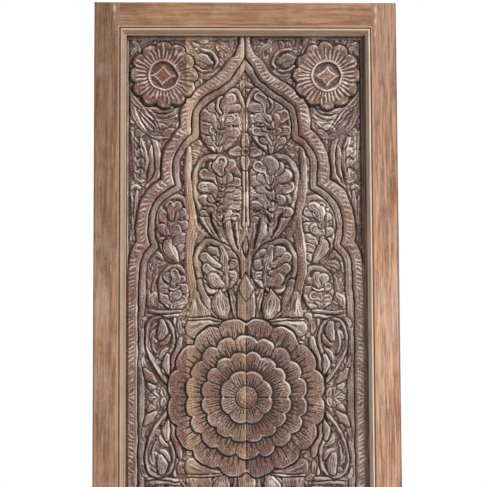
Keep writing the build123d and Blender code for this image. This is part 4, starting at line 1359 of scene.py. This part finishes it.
@dataclass
class WoodTree:
    """One wood material in the making, with its colour so far."""

    shop: WoodShop
    finish: WoodFinish

    def __post_init__(self) -> None:
        """Starts the material with its coordinates, grain and limewash."""
        finish = self.finish
        self.material, self.nodes = new_material(finish.name)
        self.coords = self.nodes.add("ShaderNodeTexCoord").outputs["Object"]
        across, along = finish.grain
        mapping = self.nodes.add("ShaderNodeMapping", Vector=self.coords)
        mapping.inputs["Scale"].default_value = (along if finish.horizontal else across, across,
                                                 across if finish.horizontal else along)
        mapping.inputs["Location"].default_value = (finish.seed, finish.seed * 0.7, finish.seed * 1.3)
        self.grain = self.nodes.group(self.shop.grain, Vector=mapping.outputs[0])
        self.lime = self.nodes.group(self.shop.limewash, Vector=self.coords)
        self.colour: object = finish.dark

    def over(self, share: Amount, colour: object, blend: str = "MIX") -> None:
        """Lays a colour over what is there."""
        self.colour = self.nodes.mix(share, self.colour, colour, blend)

    def figure(self, name: str) -> Amount:
        """One mask of the wood grain."""
        return self.nodes.amount(self.grain, name)

    def old(self, name: str) -> Amount:
        """One mask of the limewash."""
        return self.nodes.amount(self.lime, name)

    def build(self) -> bpy.types.Material:
        """Lays the colours and joins them to the surface.

        Returns:
            The finished material.
        """
        finish, nodes = self.finish, self.nodes
        self.plain()
        height = self.figure("Height")
        if finish.carved:
            height = self.carved(height)
        else:
            pale = (self.old("Patches") * 0.7 + self.old("Specks") * 0.25).held()
            self.over(pale * finish.wear, finish.wash)
            self.marks()
        rough = (self.figure("Blotches") * 0.25 + (finish.rough - 0.1)).held()
        bump = nodes.add("ShaderNodeBump", Strength=0.7, Distance=0.0009, Height=height)
        shader = nodes.add("ShaderNodeBsdfPrincipled", Specular_IOR_Level=0.3, Base_Color=self.colour,
                           Roughness=rough, Normal=bump.outputs["Normal"])
        nodes.finish(shader)
        return self.material

    def plain(self) -> None:
        """Bare wood: streaks, fine light and dark lines, scratches, blotches and pores."""
        finish = self.finish
        deep = (finish.dark[0] * 0.5, finish.dark[1] * 0.45, finish.dark[2] * 0.45, 1.0)
        bright = tuple(part * 1.45 for part in finish.light[:3]) + (1,)
        self.over(self.figure("Streaks").ramp(0.33, 0.68), finish.light)
        self.over(self.figure("Fine").ramp(0.50, 0.64) * finish.figure, bright)
        self.over((1.0 - self.figure("Fine")).ramp(0.50, 0.62) * (finish.figure * 1.25), deep)
        self.over(self.figure("Scratches") * (finish.figure * 1.2), finish.wash)
        self.over(self.figure("Blotches").ramp(0.4, 0.72) * 0.5, deep)
        self.over(self.figure("Pores") * 0.35, OPEN_PORE)

    def marks(self) -> None:
        """Darkening towards the head, painted shade along the outer edges, painted highlight and shade bands on the
        moulding and pale chips on the frame.
        """
        finish = self.finish
        x, y, z = self.nodes.axes(self.coords)
        if finish.fade:
            self.over(z.ramp(1.25, 2.05) * finish.fade, SMOKE, "MULTIPLY")
        # Painted shade along the frame's outer side edges, with a ragged inner end.
        shaded_edge_reach = abs(x) + self.old("Patches") * 0.0012
        self.over(shaded_edge_reach.ramp(0.3975, 0.4015) * 0.55, PAINTED_EDGE_SHADE)
        if finish.moulded:
            self.moulding(x, y, z)
        for place_x, place_z, radius in finish.chips:
            run_x = (x - place_x) * (1 / radius)
            run_z = (z - place_z) * (0.3 / radius)
            away = self.nodes.math("SQRT", run_x * run_x + run_z * run_z, 0.0)
            ragged = away + (self.old("Patches") * 0.9 + self.old("Pits"))
            self.over((-ragged).ramp(-1.25, -0.45) * 0.85, BARE_CHIP)

    def moulding(self, x: Amount, y: Amount, z: Amount) -> None:
        """Paints the moulding's highlight and shade bands by their distance from its inner edge.

        Args:
            x: Distance across the door.
            y: Depth.
            z: Height.
        """
        nodes = self.nodes
        beyond = nodes.math("MAXIMUM", abs(x) - SIGHT_X, abs(z - DOOR_MIDDLE_Z) - SIGHT_Z)
        across = nodes.math("DIVIDE", beyond, MOULDING_WIDTH * 1.25)
        bands = nodes.add("ShaderNodeValToRGB")
        nodes.feed(bands.inputs[0], across)
        for k, (at, tone) in enumerate(self.finish.bands):
            stop = bands.color_ramp.elements[k] if k < 2 else bands.color_ramp.elements.new(at)
            stop.position = at
            stop.color = (*tone, 1.0)
        within = (-across).ramp(-1.0, -0.97)
        front = (-y).ramp(0.018, 0.022)
        self.over(within * front * (self.old("Patches") * 0.25 + 0.66), bands.outputs[0])

    def sapwood(self) -> None:
        """Pale tan sapwood along a plank's edges."""
        x = self.nodes.axes(self.coords)[0]
        for edge, end in self.finish.sap:
            wavy = x + self.old("Cool") * ((edge - end) * 0.4)
            self.over(wavy.ramp(end, edge) * 0.72, SAPWOOD)

    def carved(self, height: Amount) -> Amount:
        """Carved wood: painted shade in recesses and painted highlight on ridges, tool lines with painted shade and
        highlight, pale limewash in cuts, and painted light and shade on the carving's sides.

        Args:
            height: Bump height of the grain.

        Returns:
            Bump height with the tool lines.
        """
        finish, nodes = self.finish, self.nodes
        patches = self.old("Patches")
        cavity, wash, flow, lines, tint = (
            nodes.amount(nodes.add("ShaderNodeAttribute", attribute_name=name), "Fac") for name in ATTRIBUTES)
        tools = nodes.group(self.shop.tool_lines, Flow=flow, Strength=lines, Wobble=height)
        self.over(((tint + self.old("Warm") * 0.8) * 0.5).held(), finish.warm)
        self.over(((self.old("Cool") * 0.7 - tint) * 0.45).held(), finish.cool)
        self.sapwood()
        self.over(self.old("Pits") * 0.64, PIT_DARK_AND_PAINTED_SHADE)
        # Painted shade in the tool lines' grooves, and a pale mix of limewash and painted highlight on their crests.
        self.over(nodes.amount(tools, "Groove") * 0.75, PIT_DARK_AND_PAINTED_SHADE)
        self.over(nodes.amount(tools, "Crest") * (patches * 0.8 + 0.15), finish.wash)
        # Painted highlight on ridges, where the carving stands above its neighbourhood.
        self.over((patches * 0.35 + 0.05) * (-cavity).ramp(0.2, 1.6), finish.wash)
        self.over(self.old("Specks") * (patches * 0.5 + 0.26), finish.wash)
        # Limewash and painted highlight where the map is positive, painted shade in cuts and on shaded sides where it
        # is negative.
        self.over((wash.ramp(0.12, 0.7) * (patches * 0.6 + 0.42)).held(), THICK_LIMEWASH_AND_HIGHLIGHT)
        self.over((-wash).ramp(0.1, 0.7) * 0.85, PIT_DARK_AND_PAINTED_SHADE)
        # Painted shade deepening in recesses.
        self.over(cavity.ramp(0.8, 3.1) * (0.94 - patches * 0.30), PIT_DARK_AND_PAINTED_SHADE)
        return height + nodes.amount(tools, "Height") * 0.45


def show(name: str, mesh: bpy.types.Mesh) -> bpy.types.Object:
    """Places a mesh in the scene.

    Args:
        name: Name of its object.
        mesh: The mesh.

    Returns:
        The new object.
    """
    piece = bpy.data.objects.new(name, mesh)
    bpy.context.scene.collection.objects.link(piece)
    return piece


def finished_mesh(name: str, bm: bmesh.types.BMesh) -> bpy.types.Mesh:
    """Turns a bmesh into a mesh and frees it.

    Args:
        name: Name of the mesh.
        bm: What was modelled.

    Returns:
        The mesh.
    """
    mesh = bpy.data.meshes.new(name)
    bm.to_mesh(mesh)
    bm.free()
    return mesh


@dataclass
class CarvedPlank:
    """One carved plank, made as a fine grid that is pushed out to the carving's height."""

    node: str
    side: Side
    near: float
    far: float
    body: str
    finish: WoodFinish
    canvas: Canvas
    has_heel: bool = False
    cell: float = 0.00185
    touch: float = 1e-6
    sharp_degrees: float = 62.0

    def sample(self, x: np.ndarray, z: np.ndarray) -> dict[str, np.ndarray]:
        """Height, cavity, limewash with painted light from the upper right, flow, tool lines and tint at places on
        the plank.

        Args:
            x: Distances across the door.
            z: Heights.

        Returns:
            The sampled maps by name, the height in metres.
        """
        lower = z < DOOR_MIDDLE_Z
        seed = 40 if self.side is Side.LEFT else 60
        column = MID_COLUMN - np.abs(x) / SQUARE
        row = MID_ROW - np.abs(z - DOOR_MIDDLE_Z) / SQUARE
        calm = unit((MID_ROW - row) / 60) * unit(np.abs(x) / 0.02) * unit((column - 130) / 8)

        def drift(first_seed: int) -> np.ndarray:
            """How far the hand strayed from the setting-out, in squares."""
            return (value_noise(column / 16, row / 16, first_seed)
                    + value_noise(column / 5, row / 5, first_seed + 2) * 0.6) * calm

        for first_seed, part in ((seed, ~lower), (seed + 5, lower)):
            shift_x, shift_y = drift(first_seed), drift(first_seed + 1)
            column = np.where(part, column + shift_x, column)
            row = np.where(part, row + shift_y, row)
        c = self.canvas
        fi = np.clip((column - c.left) / c.step, 0, c.height.shape[1] - 1.001)
        fj = np.clip((row - c.top) / c.step, 0, c.height.shape[0] - 1.001)
        i, j = fi.astype(int), fj.astype(int)
        di, dj = fi - i, fj - j

        def pick(values: np.ndarray) -> np.ndarray:
            """Bilinear sample of one map."""
            return ((values[j, i] * (1 - di) + values[j, i + 1] * di) * (1 - dj)
                    + (values[j + 1, i] * (1 - di) + values[j + 1, i + 1] * di) * dj)

        # Cavity: how far a place lies below its neighbourhood; the material paints shade in recesses and highlight on
        # ridges from it.
        cavity = blurred(c.height, 4) * 0.6 + blurred(c.height, 9) * 0.4 - c.height
        # Painted light: slopes facing the upper right are made paler and slopes facing away darker, added to the
        # limewash map.
        rise_down, rise_right = np.gradient(blurred(c.height, 1), c.step)
        lit = 0.8 * np.where(lower, -1.0, 1.0) * pick(rise_down) + 0.55 * self.side.value * pick(rise_right)
        high = np.clip(pick(c.height), DEEPEST_RELIEF, TOP_RELIEF)
        high = high + 0.12 * value_noise(column / 1.3, row / 2.1, seed + 9)
        return {"height": high * MILLIMETRE, "cavity": pick(cavity), "wash": pick(c.wash) + 0.36 * np.tanh(lit),
                "flow": pick(c.flow), "lines": pick(c.lines), "tint": pick(c.tint)}

    def build(self, shop: WoodShop) -> bpy.types.Object:
        """Builds and dresses the plank.

        Args:
            shop: Where its material is made.

        Returns:
            The plank's object.
        """
        low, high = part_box(self.node)
        sign = self.side.value
        outer = min(self.far, FIELD_HALF_WIDTH)
        width, tall = outer - self.near, 2 * FIELD_HALF_HEIGHT
        nx, nz = round(width / self.cell), round(tall / self.cell)
        bm = bmesh.new()
        bmesh.ops.create_grid(bm, x_segments=nx, y_segments=nz, size=0.5)
        layers = {name: bm.verts.layers.float.new(name) for name in ATTRIBUTES}
        verts = list(bm.verts)
        flat = np.array([v.co[:2] for v in verts])
        x = sign * (self.near + (flat[:, 0] + 0.5) * width)
        z = DOOR_MIDDLE_Z + flat[:, 1] * tall
        maps = self.sample(x, z)
        at_side = np.abs(np.abs(x) - FIELD_HALF_WIDTH) < self.touch
        at_end = np.abs(np.abs(z - DOOR_MIDDLE_Z) - tall / 2) < self.touch
        push = np.where(at_side | at_end, 0.0, maps["height"])
        for k, v in enumerate(verts):
            v.co = (x[k], GROUND_Y - push[k], z[k])
            for name, layer in layers.items():
                v[layer] = maps[name][k]
        self.close(bm, low, high)
        carved = set(verts)
        for v in (v for v in bm.verts if v not in carved):
            for layer in layers.values():
                v[layer] = 0.0
        bmesh.ops.recalc_face_normals(bm, faces=bm.faces)
        name = "carved_" + self.node
        mesh = finished_mesh(name, bm)
        mesh.shade_smooth()
        mesh.set_sharp_from_angle(angle=math.radians(self.sharp_degrees))
        mesh.materials.append(shop.material(self.finish))
        piece = show(name, mesh)
        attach(piece, self.body)
        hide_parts(self.node)
        log.info("%s: %d faces", piece.name, len(mesh.polygons))
        return piece

    def close(self, bm: bmesh.types.BMesh, low: Sequence[float], high: Sequence[float]) -> None:
        """Carries the carved face out to the plank's edges and round to its back.

        Args:
            bm: Mesh with the carved face.
            low: Lowest corner of the plank.
            high: Highest corner of the plank.
        """
        sign, touch, slack = self.side.value, self.touch, 10 * self.touch
        tall = FIELD_HALF_HEIGHT

        def boundary(test: Callable[[Vector], bool]) -> list[bmesh.types.BMEdge]:
            """Open edges with both ends where the test holds."""
            return [e for e in bm.edges if e.is_boundary and all(test(v.co) for v in e.verts)]

        def carry(edges: list[bmesh.types.BMEdge], **place: float) -> None:
            """Draws edges out into faces.

            Args:
                edges: The edges.
                place: New place of the drawn points, by axis.
            """
            made = bmesh.ops.extrude_edge_only(bm, edges=edges)["geom"]
            for v in (g for g in made if isinstance(g, bmesh.types.BMVert)):
                for axis, value in place.items():
                    setattr(v.co, axis, value)

        carry(boundary(lambda p: p.z > DOOR_MIDDLE_Z + tall - slack), z=high[2])
        carry(boundary(lambda p: p.z < DOOR_MIDDLE_Z - tall + slack), z=low[2])
        carry(boundary(lambda p: abs(p.x - sign * self.near) < touch), y=PLANK_BACK)
        if self.has_heel:
            edge_x, pivot_x = sign * FIELD_HALF_WIDTH, sign * PIVOT_X
            carry(boundary(lambda p: abs(p.x - edge_x) < slack and p.y < PLANK_BACK - slack), x=pivot_x, y=GROUND_Y)
            bmesh.ops.spin(bm, geom=boundary(lambda p: abs(p.x - pivot_x) < touch), axis=(0, 0, 1),
                           cent=(pivot_x, GROUND_Y + HEEL_RADIUS, 0), angle=sign * math.pi, steps=6, use_merge=False)
        else:
            carry(boundary(lambda p: abs(p.x - sign * self.far) < touch), y=PLANK_BACK)
        back = boundary(lambda p: abs(p.y - PLANK_BACK) < touch)
        bmesh.ops.bridge_loops(bm, edges=[e for e in back if abs(e.verts[0].co.x - e.verts[1].co.x) < touch])
        bmesh.ops.holes_fill(bm, edges=[e for e in bm.edges if e.is_boundary], sides=0)


@dataclass(frozen=True)
class IronFinish:
    """Dark forged iron with a little rust."""

    name: str = "forged_iron"
    metal: Colour = (0.045, 0.040, 0.038, 1.0)
    rust: Colour = (0.16, 0.065, 0.03, 1.0)

    def material(self) -> bpy.types.Material:
        """Makes the iron material.

        Returns:
            The finished material.
        """
        material, nodes = new_material(self.name)
        coords = nodes.add("ShaderNodeTexCoord").outputs["Object"]
        spots = nodes.amount(nodes.add("ShaderNodeTexNoise", Scale=160.0, Detail=6.0, Roughness=0.7, Vector=coords),
                             "Fac")
        rusty = spots.ramp(0.42, 0.62)
        bump = nodes.add("ShaderNodeBump", Strength=0.6, Distance=0.0006, Height=spots)
        shader = nodes.add("ShaderNodeBsdfPrincipled", Base_Color=nodes.mix(rusty, self.metal, self.rust),
                           Metallic=0.85 - rusty * 0.6, Roughness=rusty * 0.3 + 0.5, Normal=bump.outputs["Normal"])
        nodes.finish(shader)
        return material


def dress(node: str, material: bpy.types.Material) -> None:
    """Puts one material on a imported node.

    Args:
        node: The node's name.
        material: Its material.
    """
    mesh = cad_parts[node].data
    mesh.materials.clear()
    mesh.materials.append(material)
    log.info("%s: dressed as %s", node, material.name)


@dataclass
class FrameSet:
    """The four members of the frame and their pegs."""

    shop: WoodShop
    left: WoodFinish = WoodFinish(
        "jamb_left_wood", (0.23, 0.106, 0.053, 1), (0.46, 0.245, 0.132, 1), moulded=True, fade=1.0, wear=0.35,
        figure=0.4, seed=1.3, chips=((-0.3495, 2.083, 0.0045), (-0.349, 2.060, 0.003)))
    right: WoodFinish = WoodFinish(
        "jamb_right_wood", (0.32, 0.145, 0.076, 1), (0.60, 0.33, 0.198, 1), moulded=True, fade=1.0, wear=0.4,
        seed=4.1, bands=PAINTED_SHADOW_MOULDING_BANDS, chips=((0.348, 2.080, 0.004), (0.3475, 2.052, 0.003), (0.346, 2.016, 0.002)))
    rails: WoodFinish = WoodFinish(
        "rail_wood", (0.24, 0.110, 0.047, 1), (0.40, 0.212, 0.106, 1), moulded=True, horizontal=True, figure=0.38,
        seed=7.7)
    pegs: WoodFinish = WoodFinish(
        "peg_wood", (0.18, 0.10, 0.06, 1), (0.34, 0.21, 0.13, 1), grain=(1.0, 1.0), seed=2.2)

    def build(self) -> None:
        """Dresses the frame's members."""
        dress("jamb_left", self.shop.material(self.left))
        dress("jamb_right", self.shop.material(self.right))
        rail = self.shop.material(self.rails)
        dress("head_rail", rail)
        dress("sill_rail", rail)
        dress("frame_pegs", self.shop.material(self.pegs))


@dataclass
class Leaves:
    """Both leaves: carved planks, ledges, nails and pivot pins."""

    shop: WoodShop
    # Half the gap where the leaves meet. A narrower one lets the raised carving strike the other leaf in the swing.
    meeting: float = 0.0006
    seam: float = 0.1568
    ledges: WoodFinish = WoodFinish(
        "ledge_wood", (0.13, 0.075, 0.045, 1), (0.29, 0.18, 0.115, 1), horizontal=True, seed=5.5)
    planks: dict[str, WoodFinish] = field(default_factory=lambda: {
        "plank_outer_left": WoodFinish(
            "outer_left_wood", (0.085, 0.035, 0.026, 1), (0.215, 0.104, 0.082, 1), (0.54, 0.425, 0.365, 1),
            carved=True, warm=(0.20, 0.066, 0.036, 1), cool=(0.17, 0.125, 0.13, 1), seed=0.4),
        "plank_inner_left": WoodFinish(
            "inner_left_wood", (0.135, 0.062, 0.037, 1), (0.30, 0.160, 0.104, 1), carved=True,
            warm=(0.22, 0.082, 0.043, 1), cool=(0.19, 0.125, 0.115, 1),
            sap=((-0.1568, -0.118), (-0.0006, -0.014)), seed=3.9),
        "plank_inner_right": WoodFinish(
            "inner_right_wood", (0.072, 0.032, 0.024, 1), (0.19, 0.096, 0.073, 1), (0.52, 0.41, 0.355, 1),
            carved=True, warm=(0.18, 0.064, 0.037, 1), cool=(0.145, 0.105, 0.108, 1), seed=6.2),
        "plank_outer_right": WoodFinish(
            "outer_right_wood", (0.115, 0.056, 0.042, 1), (0.29, 0.160, 0.128, 1), carved=True,
            warm=(0.22, 0.088, 0.050, 1), cool=(0.19, 0.142, 0.138, 1), seed=8.8),
    })

    def build(self) -> None:
        """Builds the carved planks and dresses the rest."""
        far = abs(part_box("plank_outer_right")[1][0])
        for side in Side:
            word = side.name.lower()
            canvas = Carving(side).draw()
            body, inner, outer = "leaf_" + word, "plank_inner_" + word, "plank_outer_" + word
            CarvedPlank(inner, side, self.meeting, self.seam, body, self.planks[inner], canvas).build(self.shop)
            CarvedPlank(outer, side, self.seam, far, body, self.planks[outer], canvas, True).build(self.shop)
        ledge = self.shop.material(self.ledges)
        iron = IronFinish().material()
        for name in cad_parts:
            if name.startswith("ledge_"):
                dress(name, ledge)
            elif name.startswith(("nails_", "pivot_pins_")):
                dress(name, iron)


@dataclass(frozen=True)
class Lamp:
    """Square area lamp with its place, aim, size in metres and power in watts."""

    name: str
    place: Place
    target: Place
    size: float
    power: float

    def build(self) -> None:
        """Hangs the lamp."""
        data = bpy.data.lights.new(self.name, "AREA")
        data.size = self.size
        data.energy = self.power
        aim(self.name, data, self.place, self.target)


def aim(name: str, data: bpy.types.ID, place: Place, target: Place) -> bpy.types.Object:
    """Sets up a lamp or camera at a place and turns it to a target.

    Args:
        name: Name of its object.
        data: The lamp or camera.
        place: Where it stands.
        target: What it looks at.

    Returns:
        Its object.
    """
    stand = bpy.data.objects.new(name, data)
    stand.location = place
    stand.rotation_euler = (Vector(target) - Vector(place)).to_track_quat("-Z", "Y").to_euler()
    bpy.context.scene.collection.objects.link(stand)
    return stand


@dataclass
class Studio:
    """Floor, world, lamps and camera."""

    camera_place: Place = (-0.22, -2.64, 1.305)
    camera_target: Place = (-0.193, -0.04, 1.4548)
    focal: float = 73.1
    shift: float = 0.1445
    sensor: float = 36.0
    floor_radius: float = 3.9
    floor_colour: Colour = (0.80, 0.80, 0.80, 1)
    sky_colour: Colour = (0.93, 0.96, 1.0, 1)
    sky_strength: float = 0.42
    lamps: tuple[Lamp, ...] = (
        Lamp("key", (2.9, -2.3, 4.0), (0, 0, 1.3), 1.6, 215.0),
        Lamp("fill", (-2.8, -3.6, 1.8), (0, 0, 1.1), 3.0, 22.0),
        Lamp("back", (0.6, 3.6, 2.8), (0, 0, 1.1), 3.0, 70.0))

    def build(self) -> None:
        """Makes the whole studio."""
        self.floor()
        self.world()
        for lamp in self.lamps:
            lamp.build()
        self.camera()

    def floor(self) -> None:
        """Large round pale floor that keeps the object's shadow and fades to white at its rim."""
        bm = bmesh.new()
        bmesh.ops.create_circle(bm, cap_ends=True, segments=64, radius=self.floor_radius)
        mesh = finished_mesh("studio_floor", bm)
        material, nodes = new_material("studio_floor")
        matt = nodes.add("ShaderNodeBsdfPrincipled", Base_Color=self.floor_colour, Roughness=0.9)
        white = nodes.add("ShaderNodeEmission", Color=WHITE, Strength=1.0)
        away = nodes.add("ShaderNodeVectorMath", operation="LENGTH")
        nodes.feed(away.inputs[0], nodes.add("ShaderNodeTexCoord").outputs["Object"])
        rim = nodes.amount(away, "Value").ramp(0.4 * self.floor_radius, 0.95 * self.floor_radius)
        seen = nodes.amount(nodes.add("ShaderNodeLightPath"), "Is Camera Ray")
        nodes.finish(nodes.mixed(rim * seen, matt, white))
        mesh.materials.append(material)
        floor = show("studio_floor", mesh)

    def world(self) -> None:
        """White to the camera, in reflections and through glass, and soft grey light for the object."""
        world = bpy.data.worlds.new("studio")
        bpy.context.scene.world = world
        world.use_nodes = True
        world.node_tree.nodes.clear()
        nodes = Nodes(world.node_tree)
        path = nodes.add("ShaderNodeLightPath")
        seen = nodes.math("MAXIMUM", nodes.amount(path, "Is Camera Ray"), nodes.amount(path, "Is Transmission Ray"))
        seen = nodes.math("MAXIMUM", seen, nodes.amount(path, "Is Glossy Ray"))
        white = nodes.add("ShaderNodeBackground", Color=WHITE)
        soft = nodes.add("ShaderNodeBackground", Color=self.sky_colour, Strength=self.sky_strength)
        nodes.finish(nodes.mixed(seen, soft, white), "ShaderNodeOutputWorld")

    def camera(self) -> None:
        """Camera at the photograph's angle."""
        data = bpy.data.cameras.new("camera")
        data.sensor_width = self.sensor
        data.lens = self.focal
        data.shift_x = self.shift
        bpy.context.scene.camera = aim("camera", data, self.camera_place, self.camera_target)


def main() -> None:
    """Builds the looks of the whole door."""
    logging.basicConfig(level=logging.INFO, format="%(name)s %(message)s")
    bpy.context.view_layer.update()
    bpy.context.scene.view_settings.view_transform = "Standard"
    shop = WoodShop()
    FrameSet(shop).build()
    Leaves(shop).build()
    Studio().build()


if __name__ == "__main__":
    main()
